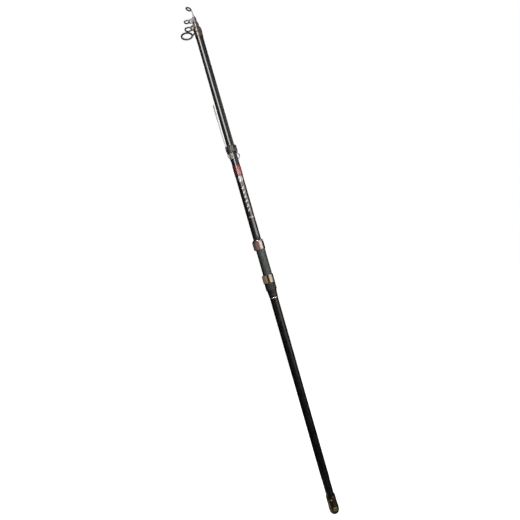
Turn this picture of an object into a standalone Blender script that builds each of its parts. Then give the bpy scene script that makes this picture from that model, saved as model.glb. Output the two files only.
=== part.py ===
"""Telescopic surf fishing rod, put away: four nested sections, pipe reel seat, four line guides
and a fold-down stripper guide.

Frame: the origin is the centre of the butt cap's end, +Z runs along the blank to the tip, and the
reel and the guides are on the -X side. Lengths are in metres.
"""
import math

import bmesh
import bpy
from mathutils import Matrix, Vector

# Fits between pieces
FIT = 0.0003                    # glued, screwed or resting faces
RUN = 0.0003                    # sliding faces, such as the jammed tapers of the sections

# Facets round a turned piece
ROUND = 32
SMALL_ROUND = 24
TINY_ROUND = 16

# Butt cap, with the pad that the sections drop on
CAP_HEIGHT = 0.047
CAP_FLOOR = 0.009
CAP_WALL = 0.0007
CAP_BELLY = 0.0009              # how much the cap swells over its top edge
CAP_BELLY_HEIGHT = 0.018
CAP_BEAD_HEIGHT = 0.0135
CAP_END_RADIUS = 0.0065         # the flat at the very end
CAP_GROOVE = 0.0004
PAD_FLANGE = 0.003
PAD_PLUG = 0.008
PAD_PLUG_PLAY = 0.0006

# Threaded ferrule glued over the butt end
FERRULE_WALL = 0.0006
FERRULE_LENGTH = 0.030

# Butt section, the outer tube
BUTT_TOP = 1.320
BUTT_OD = 0.0207
BUTT_MOUTH_OD = 0.0195
BUTT_TAPER_START = 1.000
BUTT_BORE = 0.0176
BUTT_MOUTH_BORE = 0.0168
BUTT_JAM = 0.140                # overlap left when the next section is drawn right out

# Section 2
SECTION_2_MOUTH_OD = 0.0124
SECTION_2_BORE = 0.0116
SECTION_2_MOUTH_BORE = 0.0110
SECTION_2_WALL = 0.0013
SECTION_2_JAM = 0.120

# Section 3
SECTION_3_MOUTH_OD = 0.0074
SECTION_3_BORE = 0.0066
SECTION_3_MOUTH_BORE = 0.0061
SECTION_3_WALL = 0.0010
SECTION_3_JAM = 0.100

# Tip section
TIP_TOP_OD = 0.0026
TIP_TOP_BORE = 0.0010
TIP_WALL = 0.0012
TIP_PROUD = 0.0050              # how far the tip's end stands out of section 3's mouth

# Shrink sleeve on the butt and the trim behind the reel seat
GRIP_START = 0.092
GRIP_LENGTH = 0.493
GRIP_WALL = 0.0003
REAR_TRIM_HEIGHT = 0.0025
REAR_TRIM_WALL = 0.0011
REAR_COLLAR_HEIGHT = 0.019
REAR_COLLAR_LOW_WALL = 0.0007
REAR_COLLAR_HIGH_WALL = 0.0019

# Pipe reel seat
SEAT_LENGTH = 0.1315
SEAT_RADIUS = 0.0130
FOOT_FACE = 0.0113              # the flat that the reel's foot lies on, off the axis
POCKET_DROP = 0.0002            # the flat is this much lower under the hoods
NUT_HEIGHT = 0.019
NUT_WALL = 0.0011
NUT_RIBS = 24
NUT_RIB = 0.0004
HOOD_HEIGHT = 0.022
HOOD_CORE_WALL = 0.00055
HOOD_COVER_WALL = 0.00045
HOOD_COVER_INSET = 0.0008       # the core stands out of its steel cover by this much at each end
POCKET_DEPTH = 0.0142
POCKET_WIDTH = 0.0146
POCKET_ROOF = 0.01535           # inside of the cover over the foot pocket, off the axis
HOOD_SHOULDER = 0.0040          # rounding beside the pocket's roof
HOOD_SHOULDER_Y = 0.0045
FLANGE_HEIGHT = 0.0048
FLANGE_RADIUS = 0.0155

# Red wrap with its two trims
WRAP_START = 0.9199
WRAP_LENGTH = 0.0238
WRAP_WALL = 0.0003
WRAP_TRIM = 0.0012

# Fold-down stripper guide: collar, foot, frame
COLLAR_START = 0.9805
COLLAR_HEIGHT = 0.0190
COLLAR_RADIUS = 0.0145
COLLAR_CHAMFER = 0.0015
EAR_REACH = 0.0155
EAR_WIDTH = 0.0140
EAR_HEIGHT = 0.011
SLOT_WIDTH = 0.0080
PIVOT_REACH = 0.0129            # pin centre, off the blank's axis
PIVOT_RISE = 0.0148             # pin centre above the collar's lower edge
PIN_RADIUS = 0.0010
PIN_HEAD_PLAY = 0.0004
KNUCKLE_RADIUS = 0.0018
FOOT_HEIGHT = 0.0170
FOOT_WALL = 0.0009
FOOT_PAD_REACH = 0.0150
FOOT_PAD_END = 0.0050           # the pad's height at its reach
FOOT_PAD_WIDTH = 0.0110
FOOT_EDGE = 0.0015              # where the foot's wings end, off the middle plane
STRIPPER_REACH = 0.100          # pin to ring centre
STRIPPER_CRANK = 0.0013         # how far the frame is bent away from the blank
STRIPPER_HOLDER_OUTER = 0.0200
STRIPPER_HOLDER_INNER = 0.0188
STRIPPER_EYE = 0.0158
STRIPPER_PLATE = 0.0020
STRIPPER_LEG = 0.0026
STRIPPER_NECK = 0.032
KEEPER_WIRE = 0.0009
KEEPER_BULGE = 0.0044           # clear of the blank
KEEPER_LENGTH = 0.0140

# Line guides: what each one seats on and where its ring stands
GUIDE_SLEEVE_WALL = 0.0005
GUIDE_SLEEVE_SHOULDER = 0.0025  # rounding of a sleeve's upper edge
GUIDE_PLATE = 0.0012
GUIDE_LEG_HEIGHT = 0.0032       # of a leg where it leaves the ring
GUIDE_LEG_FOOT = 0.0010         # of a sleeve that stays bare below its legs
GUIDE_HOLDER_HEIGHT = 0.0022
RING_HEIGHT = 0.0034
GUIDE_4_SLEEVE = 0.012
GUIDE_4_REACH = 0.0309
GUIDE_4_DROP = 0.0115           # ring centre below the sleeve's top
GUIDE_4_HOLDER_OUTER = 0.0164
GUIDE_4_HOLDER_INNER = 0.0154
GUIDE_4_EYE = 0.0114
GUIDE_3_SLEEVE = 0.0150
GUIDE_3_REACH = 0.0226
GUIDE_3_DROP = 0.0105
GUIDE_3_HOLDER_OUTER = 0.0101
GUIDE_3_HOLDER_INNER = 0.0092
GUIDE_3_EYE = 0.0064
GUIDE_2_SLEEVE = 0.0160
GUIDE_2_REACH = 0.0211
GUIDE_2_DROP = 0.0068
GUIDE_2_HOLDER_OUTER = 0.0079
GUIDE_2_HOLDER_INNER = 0.0071
GUIDE_2_EYE = 0.0046
GUIDE_LEAN = math.radians(5)
BRIDGE_WIDTH = 0.0052
BRIDGE_HEIGHT = 0.0026
BRIDGE_FOOT = 0.0019            # bridge's middle above the sleeve's lower edge

# Tip-top
TIP_TUBE = 0.0065
TIP_TUBE_WALL = 0.0004
TIP_STEM = 0.0013
TIP_RING_REACH = 0.0076
TIP_RING_RISE = 0.0243          # ring centre above section 3's mouth
TIP_HOLDER_OUTER = 0.0078
TIP_HOLDER_INNER = 0.0069
TIP_EYE = 0.0044
TIP_LEAN = math.radians(27)

# Windings
MOUTH_WINDING = 0.0115
MOUTH_WINDING_WALL = 0.0006

# Heights worked out from the above
BLANK_START = CAP_FLOOR + FIT + PAD_FLANGE + FIT
SECTIONS_START = BLANK_START + PAD_PLUG + FIT
REAR_TRIM_START = GRIP_START + GRIP_LENGTH + FIT
REAR_COLLAR_START = REAR_TRIM_START + REAR_TRIM_HEIGHT + FIT
SEAT_START = REAR_COLLAR_START + REAR_COLLAR_HEIGHT + FIT
SEAT_TOP = SEAT_START + SEAT_LENGTH
HOOD_START = SEAT_START + NUT_HEIGHT + FIT
FIXED_HOOD_START = SEAT_TOP - HOOD_HEIGHT
SECTION_2_TOP = BUTT_TOP + FIT + GUIDE_3_SLEEVE
SECTION_3_TOP = SECTION_2_TOP + FIT + GUIDE_2_SLEEVE
TIP_END = SECTION_3_TOP + TIP_PROUD
PIVOT_HEIGHT = COLLAR_START + PIVOT_RISE
BUTT_RADIUS = BUTT_OD / 2
FERRULE_RADIUS = BUTT_RADIUS + FIT + FERRULE_WALL
CAP_BORE = FERRULE_RADIUS + FIT
CAP_RADIUS = CAP_BORE + CAP_WALL
HOOD_BORE = SEAT_RADIUS + RUN
HOOD_CORE_RADIUS = HOOD_BORE + HOOD_CORE_WALL
HOOD_RADIUS = HOOD_CORE_RADIUS + FIT + HOOD_COVER_WALL

COLOURS = {
    "blank": ((0.020, 0.020, 0.022), 0.22, 0.0),
    "section": ((0.030, 0.030, 0.033), 0.25, 0.0),
    "sleeve": ((0.012, 0.012, 0.013), 0.55, 0.0),
    "gunmetal": ((0.23, 0.20, 0.17), 0.25, 1.0),
    "plastic": ((0.030, 0.033, 0.034), 0.45, 0.0),
    "seat": ((0.085, 0.095, 0.092), 0.55, 0.0),
    "steel": ((0.62, 0.60, 0.57), 0.18, 1.0),
    "smoked": ((0.20, 0.19, 0.19), 0.30, 1.0),
    "ceramic": ((0.035, 0.032, 0.033), 0.20, 0.0),
    "rubber": ((0.020, 0.020, 0.020), 0.85, 0.0),
    "red": ((0.45, 0.015, 0.025), 0.30, 0.0),
    "maroon": ((0.12, 0.010, 0.016), 0.35, 0.0),
    "winding": ((0.055, 0.030, 0.018), 0.25, 0.0),
}


def clear_scene():
    """Remove what the file starts with."""
    for item in list(bpy.data.objects):
        bpy.data.objects.remove(item, do_unlink=True)


def new_collection(name):
    """Return a new collection linked to the scene."""
    collection = bpy.data.collections.new(name)
    bpy.context.scene.collection.children.link(collection)
    return collection


def dress(obj, finish):
    """Give the piece its own material."""
    colour, roughness, metallic = COLOURS[finish]
    material = bpy.data.materials.new(obj.name)
    material.use_nodes = True
    shader = material.node_tree.nodes["Principled BSDF"]
    shader.inputs["Base Color"].default_value = (*colour, 1.0)
    shader.inputs["Roughness"].default_value = roughness
    shader.inputs["Metallic"].default_value = metallic
    obj.data.materials.clear()
    obj.data.materials.append(material)


def body(name, location=(0, 0, 0)):
    """Return the empty that a group of pieces moves with, set on its joint's axis."""
    empty = bpy.data.objects.new(name, None)
    empty.location = location
    PARTS.objects.link(empty)
    return empty


def seat(obj, parent):
    """Hang a piece, placed in world coordinates, on its body's empty."""
    obj.parent = parent
    obj.matrix_parent_inverse = Matrix.Translation(-Vector(parent.location))


def evaluated_mesh(obj):
    """Return the mesh of an object as its modifiers or its curve settings make it."""
    bpy.context.view_layer.update()
    graph = bpy.context.evaluated_depsgraph_get()
    return bpy.data.meshes.new_from_object(obj.evaluated_get(graph))


def finish_mesh(mesh, fill_ends=False):
    """Weld a mesh, close its open ends if asked, and turn its faces outwards."""
    work = bmesh.new()
    work.from_mesh(mesh)
    bmesh.ops.remove_doubles(work, verts=work.verts[:], dist=1e-6)
    if fill_ends:
        bmesh.ops.holes_fill(work, edges=work.edges[:])
    bmesh.ops.recalc_face_normals(work, faces=work.faces[:])
    work.to_mesh(mesh)
    work.free()
    mesh.shade_smooth()
    mesh.set_sharp_from_angle(angle=math.radians(35))


def turned(name, outline, sides=ROUND, closed=True, location=(0, 0, 0)):
    """Turn an outline of (radius, height) points about Z.

    A closed outline makes a ring or a tube. An open one runs down the outside, and its two end
    circles are filled.
    """
    mesh = bpy.data.meshes.new(name)
    points = [(radius, 0, height) for radius, height in outline]
    edges = [(i, i + 1) for i in range(len(points) - 1)]
    if closed:
        edges.append((len(points) - 1, 0))
    mesh.from_pydata(points, edges, [])
    obj = bpy.data.objects.new(name, mesh)
    PARTS.objects.link(obj)
    screw = obj.modifiers.new("turn", "SCREW")
    screw.axis = "Z"
    screw.angle = 2 * math.pi
    screw.steps = sides
    screw.render_steps = sides
    screw.use_merge_vertices = True
    screw.merge_threshold = 1e-6
    turned_mesh = evaluated_mesh(obj)
    finish_mesh(turned_mesh, fill_ends=not closed)
    obj.modifiers.clear()
    obj.data = turned_mesh
    obj.location = location
    return obj


def tube_outline(outer, inner):
    """Return the closed outline of a tube from (height, radius) points, each list upwards."""
    down = [(radius, height) for height, radius in reversed(outer)]
    up = [(radius, height) for height, radius in inner]
    return down + up


def plain_tube(name, low, high, outer, inner, sides=ROUND):
    """Return a straight ring or tube between two heights."""
    outline = tube_outline([(0, outer), (high - low, outer)], [(0, inner), (high - low, inner)])
    return turned(name, outline, sides, location=(0, 0, low))


def extruded(name, outlines, low, height):
    """Extrude flat closed outlines of (x, y) points, the first outside and the rest holes."""
    curve = bpy.data.curves.new(name, "CURVE")
    curve.dimensions = "2D"
    curve.fill_mode = "BOTH"
    curve.extrude = height / 2
    for outline in outlines:
        spline = curve.splines.new("POLY")
        spline.points.add(len(outline) - 1)
        for point, (x, y) in zip(spline.points, outline):
            point.co = (x, y, 0, 1)
        spline.use_cyclic_u = True
    obj = bpy.data.objects.new(name + "_outline", curve)
    PARTS.objects.link(obj)
    return as_mesh(obj, name, (0, 0, low + height / 2))


def wire(name, points, radius, resolution=2):
    """Return a round wire along points, with filled ends."""
    curve = bpy.data.curves.new(name, "CURVE")
    curve.dimensions = "3D"
    curve.bevel_depth = radius
    curve.bevel_resolution = resolution
    curve.use_fill_caps = True
    spline = curve.splines.new("POLY")
    spline.points.add(len(points) - 1)
    for point, place in zip(spline.points, points):
        point.co = (*place, 1)
    obj = bpy.data.objects.new(name + "_route", curve)
    PARTS.objects.link(obj)
    return as_mesh(obj, name, (0, 0, 0))


def as_mesh(obj, name, location):
    """Replace a curve object by a welded mesh object of the given name."""
    mesh = evaluated_mesh(obj)
    finish_mesh(mesh)
    mesh.name = name
    result = bpy.data.objects.new(name, mesh)
    PARTS.objects.link(result)
    result.location = location
    bpy.data.objects.remove(obj, do_unlink=True)
    return result


def circle(radius, sides=ROUND, centre=(0, 0)):
    """Return the points of a circle, the first on +X."""
    turn = 2 * math.pi / sides
    return [(centre[0] + radius * math.cos(i * turn), centre[1] + radius * math.sin(i * turn))
            for i in range(sides)]


def cross_rod(name, centre, half_length, radius, sides=TINY_ROUND):
    """Return a solid cylinder along Y."""
    bpy.ops.mesh.primitive_cylinder_add(vertices=sides, radius=radius, depth=2 * half_length,
                                        location=centre, rotation=(math.pi / 2, 0, 0))
    obj = bpy.context.active_object
    obj.name = name
    return claim(obj)


def aim(direction, side=(0, 1, 0)):
    """Return the rotation that turns Z to a direction and keeps Y near a side direction."""
    z_axis = Vector(direction).normalized()
    x_axis = Vector(side).cross(z_axis).normalized()
    y_axis = z_axis.cross(x_axis)
    return Matrix((x_axis, y_axis, z_axis)).transposed().to_4x4()


def box(name, low, high):
    """Return a box between two corners, its scale applied."""
    low, high = Vector(low), Vector(high)
    bpy.ops.mesh.primitive_cube_add(size=1)
    obj = bpy.context.active_object
    obj.name = name
    obj.data.transform(Matrix.Diagonal((*(high - low), 1)))
    obj.location = (low + high) / 2
    return claim(obj)


def bar(name, start, end, width, thickness, side=(0, 1, 0)):
    """Return a flat bar between two points; its width runs near the side direction."""
    start, end = Vector(start), Vector(end)
    bpy.ops.mesh.primitive_cube_add(size=1)
    obj = bpy.context.active_object
    obj.name = name
    obj.data.transform(Matrix.Diagonal((thickness, width, (end - start).length, 1)))
    obj.matrix_world = Matrix.Translation((start + end) / 2) @ aim(end - start, side)
    return claim(obj)


def gusset(name, start, end, thickness, start_height, end_height):
    """Return an upright plate between two points, with a height of its own at each."""
    start, end = Vector(start), Vector(end)
    across = (end - start).cross(Vector((0, 0, 1))).normalized() * thickness / 2
    corners = []
    for point, height in ((start, start_height), (end, end_height)):
        rise = Vector((0, 0, height / 2))
        corners += [point - across - rise, point + across - rise, point + across + rise,
                    point - across + rise]
    mesh = bpy.data.meshes.new(name)
    mesh.from_pydata(corners, [], [(0, 1, 2, 3), (4, 5, 6, 7), (0, 1, 5, 4), (1, 2, 6, 5),
                                   (2, 3, 7, 6), (3, 0, 4, 7)])
    finish_mesh(mesh)
    obj = bpy.data.objects.new(name, mesh)
    PARTS.objects.link(obj)
    return obj


def claim(obj):
    """Move a new primitive from the scene's collection to the parts."""
    for collection in obj.users_collection:
        collection.objects.unlink(obj)
    PARTS.objects.link(obj)
    return obj


def combine(base, tool, operation):
    """Join a tool to a piece, or cut it away, and keep the tool as a hidden guide."""
    modifier = base.modifiers.new(tool.name, "BOOLEAN")
    modifier.operation = operation
    modifier.solver = "EXACT"
    modifier.object = tool
    PARTS.objects.unlink(tool)
    CUTTERS.objects.link(tool)
    tool.hide_render = True
    tool.display_type = "WIRE"


def join(base, *tools):
    """Join solids to a piece."""
    for tool in tools:
        combine(base, tool, "UNION")


def cut(base, *tools):
    """Cut solids away from a piece."""
    for tool in tools:
        combine(base, tool, "DIFFERENCE")


def blank_radius(height):
    """Return the butt section's outer radius at a height."""
    share = (height - BUTT_TAPER_START) / (BUTT_TOP - BUTT_TAPER_START)
    share = min(max(share, 0.0), 1.0)
    return (BUTT_OD + share * (BUTT_MOUTH_OD - BUTT_OD)) / 2


def section(name, top, foot_radius, jam_radius, jam, top_radius, bore, sides):
    """Return a tapered section whose lower end jams in the mouth of the one outside it.

    bore is a list of (height, radius) points, upwards.
    """
    outer = [(SECTIONS_START, foot_radius), (SECTIONS_START + jam, jam_radius), (top, top_radius)]
    obj = turned(name, tube_outline(outer, bore), sides)
    dress(obj, "section")
    return obj


def build_butt(root):
    """The butt tube with its ferrule, shrink sleeve, red wrap and mouth winding."""
    outer = [(BLANK_START, BUTT_RADIUS), (BUTT_TAPER_START, BUTT_RADIUS),
             (BUTT_TOP, BUTT_MOUTH_OD / 2)]
    inner = [(BLANK_START, BUTT_BORE / 2), (BUTT_TOP - BUTT_JAM, BUTT_BORE / 2),
             (BUTT_TOP, BUTT_MOUTH_BORE / 2)]
    blank = turned("butt_blank", tube_outline(outer, inner))
    dress(blank, "blank")

    ferrule = plain_tube("butt_ferrule", BLANK_START, BLANK_START + FERRULE_LENGTH,
                         FERRULE_RADIUS, BUTT_RADIUS + FIT)
    dress(ferrule, "steel")

    sleeve_bore = BUTT_RADIUS + FIT
    sleeve = plain_tube("grip_sleeve", GRIP_START, GRIP_START + GRIP_LENGTH,
                        sleeve_bore + GRIP_WALL, sleeve_bore)
    dress(sleeve, "sleeve")

    wrap_bore = BUTT_RADIUS + FIT
    wrap_radius = wrap_bore + WRAP_WALL
    wrap = plain_tube("red_wrap", WRAP_START, WRAP_START + WRAP_LENGTH, wrap_radius, wrap_bore)
    dress(wrap, "red")
    trim_starts = {"red_wrap_trim_low": WRAP_START - FIT - WRAP_TRIM,
                   "red_wrap_trim_high": WRAP_START + WRAP_LENGTH + FIT}
    trims = []
    for name, start in trim_starts.items():
        trim = plain_tube(name, start, start + WRAP_TRIM, wrap_radius, wrap_bore)
        dress(trim, "maroon")
        trims.append(trim)

    winding_top = BUTT_TOP - GUIDE_4_SLEEVE - FIT
    winding_start = winding_top - MOUTH_WINDING
    bore_low = blank_radius(winding_start) + FIT
    bore_high = blank_radius(winding_top) + FIT
    slope = MOUTH_WINDING * 0.2
    outline = tube_outline(
        [(0, bore_low + MOUTH_WINDING_WALL / 3), (slope, bore_low + MOUTH_WINDING_WALL),
         (MOUTH_WINDING, bore_high + MOUTH_WINDING_WALL)],
        [(0, bore_low), (MOUTH_WINDING, bore_high)])
    winding = turned("butt_mouth_winding", outline, location=(0, 0, winding_start))
    dress(winding, "winding")

    for obj in (blank, ferrule, sleeve, wrap, *trims, winding):
        seat(obj, root)


def build_cap(carrier, cap_body):
    """The screw cap on the butt and the rubber pad inside it."""
    belly = CAP_RADIUS + CAP_BELLY
    bead = CAP_BEAD_HEIGHT
    outline = [(CAP_BORE, CAP_FLOOR), (CAP_BORE, CAP_HEIGHT), (CAP_RADIUS - 0.0003, CAP_HEIGHT),
               (CAP_RADIUS, CAP_HEIGHT - 0.0006), (belly, CAP_BELLY_HEIGHT),
               (belly, bead + CAP_GROOVE), (belly - CAP_GROOVE, bead), (belly, bead - CAP_GROOVE)]
    steps = 6
    for i in range(1, steps + 1):
        angle = i / steps * math.pi / 2
        outline.append((CAP_END_RADIUS + (belly - CAP_END_RADIUS) * math.cos(angle),
                        (bead - CAP_GROOVE) * (1 - math.sin(angle))))
    cap = turned("butt_cap", outline, closed=False)
    dress(cap, "gunmetal")
    seat(cap, cap_body)

    flange_radius = CAP_BORE - FIT
    plug_radius = BUTT_BORE / 2 - PAD_PLUG_PLAY
    pad = turned("shock_pad", [(plug_radius, PAD_FLANGE + FIT + PAD_PLUG),
                               (plug_radius, PAD_FLANGE), (flange_radius, PAD_FLANGE),
                               (flange_radius, 0)],
                 closed=False, location=(0, 0, CAP_FLOOR + FIT))
    dress(pad, "rubber")
    seat(pad, carrier)


def build_sections(section_2, section_3, tip):
    """The three inner sections; each lower end is wider than the mouth that it is drawn to."""
    foot_2 = BUTT_BORE / 2 - RUN
    bore_2 = [(SECTIONS_START, foot_2 - SECTION_2_WALL),
              (SECTION_2_TOP - SECTION_2_JAM, SECTION_2_BORE / 2),
              (SECTION_2_TOP, SECTION_2_MOUTH_BORE / 2)]
    blank_2 = section("section_2_blank", SECTION_2_TOP, foot_2, BUTT_MOUTH_BORE / 2 - RUN,
                      BUTT_JAM, SECTION_2_MOUTH_OD / 2, bore_2, ROUND)
    seat(blank_2, section_2)

    foot_3 = SECTION_2_BORE / 2 - RUN
    bore_3 = [(SECTIONS_START, foot_3 - SECTION_3_WALL),
              (SECTION_3_TOP - SECTION_3_JAM, SECTION_3_BORE / 2),
              (SECTION_3_TOP, SECTION_3_MOUTH_BORE / 2)]
    blank_3 = section("section_3_blank", SECTION_3_TOP, foot_3, SECTION_2_MOUTH_BORE / 2 - RUN,
                      SECTION_2_JAM, SECTION_3_MOUTH_OD / 2, bore_3, SMALL_ROUND)
    seat(blank_3, section_3)

    foot_tip = SECTION_3_BORE / 2 - RUN
    bore_tip = [(SECTIONS_START, foot_tip - TIP_WALL), (TIP_END, TIP_TOP_BORE / 2)]
    blank_tip = section("tip_blank", TIP_END, foot_tip, SECTION_3_MOUTH_BORE / 2 - RUN,
                        SECTION_3_JAM, TIP_TOP_OD / 2, bore_tip, TINY_ROUND)
    seat(blank_tip, tip)


def hood_outline(shrink, sides=48):
    """Return the rounded outline of a hood, made smaller all round by shrink.

    It is the tight band round one big circle and two small ones beside the foot pocket.
    """
    shoulder = HOOD_SHOULDER - shrink
    shoulder_x = -(POCKET_ROOF + HOOD_COVER_WALL - HOOD_SHOULDER)
    discs = [((0, 0), HOOD_RADIUS - shrink), ((shoulder_x, HOOD_SHOULDER_Y), shoulder),
             ((shoulder_x, -HOOD_SHOULDER_Y), shoulder)]
    points = []
    for i in range(sides):
        angle = 2 * math.pi * i / sides
        aim_x, aim_y = math.cos(angle), math.sin(angle)
        centre, radius = max(discs, key=lambda disc: disc[0][0] * aim_x + disc[0][1] * aim_y
                             + disc[1])
        points.append((centre[0] + radius * aim_x, centre[1] + radius * aim_y))
    return points


def hood(core_name, cover_name, start, mouth_up):
    """Return a hood's core and its steel cover; the foot pocket opens up or down."""
    core = extruded(core_name, [hood_outline(HOOD_COVER_WALL + FIT), circle(HOOD_BORE)],
                    start, HOOD_HEIGHT)
    pocket_low = start + HOOD_HEIGHT - POCKET_DEPTH if mouth_up else start - FIT
    pocket_high = start + HOOD_HEIGHT + FIT if mouth_up else start + POCKET_DEPTH
    half = POCKET_WIDTH / 2
    cut(core, box(core_name + "_pocket", (-2 * HOOD_RADIUS, -half, pocket_low),
                  (-SEAT_RADIUS / 2, half, pocket_high)))
    dress(core, "plastic")
    cover = extruded(cover_name, [hood_outline(0), hood_outline(HOOD_COVER_WALL)],
                     start + HOOD_COVER_INSET, HOOD_HEIGHT - 2 * HOOD_COVER_INSET)
    dress(cover, "steel")
    return core, cover


def seat_outline():
    """Return the reel seat's outline, a circle with a flat for the reel's foot."""
    half_angle = math.acos(FOOT_FACE / SEAT_RADIUS)
    start = -math.pi + half_angle
    sweep = 2 * (math.pi - half_angle)
    sides = 40
    return [(SEAT_RADIUS * math.cos(start + sweep * i / sides),
             SEAT_RADIUS * math.sin(start + sweep * i / sides)) for i in range(sides + 1)]


def build_reel_seat(root, hood_body, nut_body):
    """The pipe seat: body, fixed hood and flange, sliding hood, lock nut and rear trim."""
    bore = BUTT_RADIUS + FIT
    tube = extruded("seat_body", [seat_outline(), circle(bore)], SEAT_START, SEAT_LENGTH)
    far = 2 * SEAT_RADIUS
    floor = -(FOOT_FACE - POCKET_DROP)
    cut(tube,
        box("moving_hood_floor", (-far, -far, SEAT_START - FIT),
            (floor, far, HOOD_START + HOOD_HEIGHT + 2 * FIT)),
        box("fixed_hood_floor", (-far, -far, FIXED_HOOD_START - 2 * FIT),
            (floor, far, SEAT_TOP + FIT)))
    dress(tube, "seat")
    seat(tube, root)

    for obj in hood("fixed_hood", "fixed_hood_cover", FIXED_HOOD_START, mouth_up=False):
        seat(obj, root)
    for obj in hood("moving_hood", "moving_hood_cover", HOOD_START, mouth_up=True):
        seat(obj, hood_body)

    flange_start = SEAT_TOP + FIT
    flange = turned("front_flange", tube_outline(
        [(0, FLANGE_RADIUS - 0.0008), (FLANGE_HEIGHT * 0.2, FLANGE_RADIUS),
         (FLANGE_HEIGHT * 0.45, FLANGE_RADIUS), (FLANGE_HEIGHT, bore + 0.0016)],
        [(0, bore), (FLANGE_HEIGHT, bore)]), location=(0, 0, flange_start))
    dress(flange, "steel")

    rear_collar = turned("rear_collar", tube_outline(
        [(0, bore + REAR_COLLAR_LOW_WALL), (REAR_COLLAR_HEIGHT, bore + REAR_COLLAR_HIGH_WALL)],
        [(0, bore), (REAR_COLLAR_HEIGHT, bore)]), location=(0, 0, REAR_COLLAR_START))
    dress(rear_collar, "plastic")
    rear_trim = turned("rear_trim_ring", tube_outline(
        [(0, bore + REAR_TRIM_WALL * 0.6), (REAR_TRIM_HEIGHT * 0.5, bore + REAR_TRIM_WALL),
         (REAR_TRIM_HEIGHT, bore + REAR_TRIM_WALL * 0.6)],
        [(0, bore), (REAR_TRIM_HEIGHT, bore)]), location=(0, 0, REAR_TRIM_START))
    dress(rear_trim, "steel")
    for obj in (flange, rear_collar, rear_trim):
        seat(obj, root)

    nut_radius = HOOD_BORE + NUT_WALL
    ribs = []
    per_rib = 4
    for i in range(NUT_RIBS * per_rib):
        angle = 2 * math.pi * i / (NUT_RIBS * per_rib)
        radius = nut_radius - (NUT_RIB if i % per_rib == 0 else 0.0)
        ribs.append((radius * math.cos(angle), radius * math.sin(angle)))
    nut = extruded("lock_nut", [ribs, circle(HOOD_BORE)], SEAT_START, NUT_HEIGHT)
    dress(nut, "plastic")
    seat(nut, nut_body)


def ring_section(outer, inner, height, points=8):
    """Return the rounded section of a guide ring, run down its outer side first."""
    middle, half = (outer + inner) / 2, (outer - inner) / 2
    return [(middle + half * math.cos(2 * math.pi * i / points + math.pi / points),
             -height / 2 * math.sin(2 * math.pi * i / points + math.pi / points))
            for i in range(points)]


def lean_matrix(centre, lean):
    """Place a ring at a centre with its outer edge leaned towards the tip."""
    return Matrix.Translation(centre) @ Matrix.Rotation(lean, 4, "Y")


def guide_ring(name, matrix, holder_inner, eye, parent, sides=SMALL_ROUND):
    """The hard ring that the line runs through, set in its holder."""
    ring = turned(name, ring_section(holder_inner - FIT, eye, RING_HEIGHT), sides)
    ring.matrix_world = matrix
    dress(ring, "ceramic")
    seat(ring, parent)


def holder_disc(name, matrix, radius, height, sides=ROUND):
    """A solid disc for a ring holder, before its hole is cut."""
    edge = height * 0.2
    disc = turned(name, [(radius - edge, height / 2), (radius, height / 2 - edge),
                         (radius, edge - height / 2), (radius - edge, -height / 2)],
                  sides, closed=False)
    disc.matrix_world = matrix
    return disc


def hole(name, matrix, radius, length, sides=ROUND):
    """A cylinder to cut with, along its matrix's Z."""
    cutter = turned(name, [(radius, length / 2), (radius, -length / 2)], sides, closed=False)
    cutter.matrix_world = matrix
    return cutter


def line_guide(names, parent, tube_radius, top, sleeve, reach, drop, holder_outer, holder_inner,
               eye, sides, bridge=False):
    """A guide on a section's mouth: a sleeve, legs and a holder in one frame, and its ring.

    tube_radius is the outside of the section under the sleeve, top the sleeve's upper edge. The
    legs are two upright plates that widen to the sleeve's length, or one short bridge.
    """
    frame_name, ring_name = names
    bore = tube_radius + FIT
    outside = bore + GUIDE_SLEEVE_WALL
    centre = Vector((-reach, 0, top - drop))
    matrix = lean_matrix(centre, GUIDE_LEAN)
    frame = turned(frame_name, [(bore + GUIDE_SLEEVE_WALL / 2, top),
                                (outside, top - GUIDE_SLEEVE_SHOULDER),
                                (outside + GUIDE_SLEEVE_WALL / 2, top - sleeve)],
                   sides, closed=False)
    disc = holder_disc(frame_name + "_disc", matrix, holder_outer, GUIDE_HOLDER_HEIGHT)
    legs = []
    if bridge:
        start = matrix @ Vector(((holder_outer + holder_inner) / 2, 0, 0))
        end = Vector((-tube_radius, 0, top - sleeve + BRIDGE_FOOT))
        legs.append(bar(frame_name + "_bridge", start, end, BRIDGE_WIDTH, BRIDGE_HEIGHT))
    else:
        root = sleeve - GUIDE_SLEEVE_SHOULDER - GUIDE_LEG_FOOT
        for side in (-1, 1):
            start = matrix @ Vector((0, side * (holder_outer - GUIDE_PLATE / 2), 0))
            end = Vector((-outside / 4, side * (outside - GUIDE_PLATE),
                          top - GUIDE_SLEEVE_SHOULDER - root / 2))
            legs.append(gusset(f"{frame_name}_leg_{side}", start, end, GUIDE_PLATE,
                               GUIDE_LEG_HEIGHT, root))
    join(frame, disc, *legs)
    straight = Matrix.Translation((0, 0, top - sleeve / 2))
    cut(frame, hole(frame_name + "_bore", straight, bore, 4 * sleeve, sides),
        hole(frame_name + "_eye", matrix, holder_inner, 6 * GUIDE_HOLDER_HEIGHT, SMALL_ROUND))
    dress(frame, "smoked")
    seat(frame, parent)
    guide_ring(ring_name, matrix, holder_inner, eye, parent)


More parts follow.
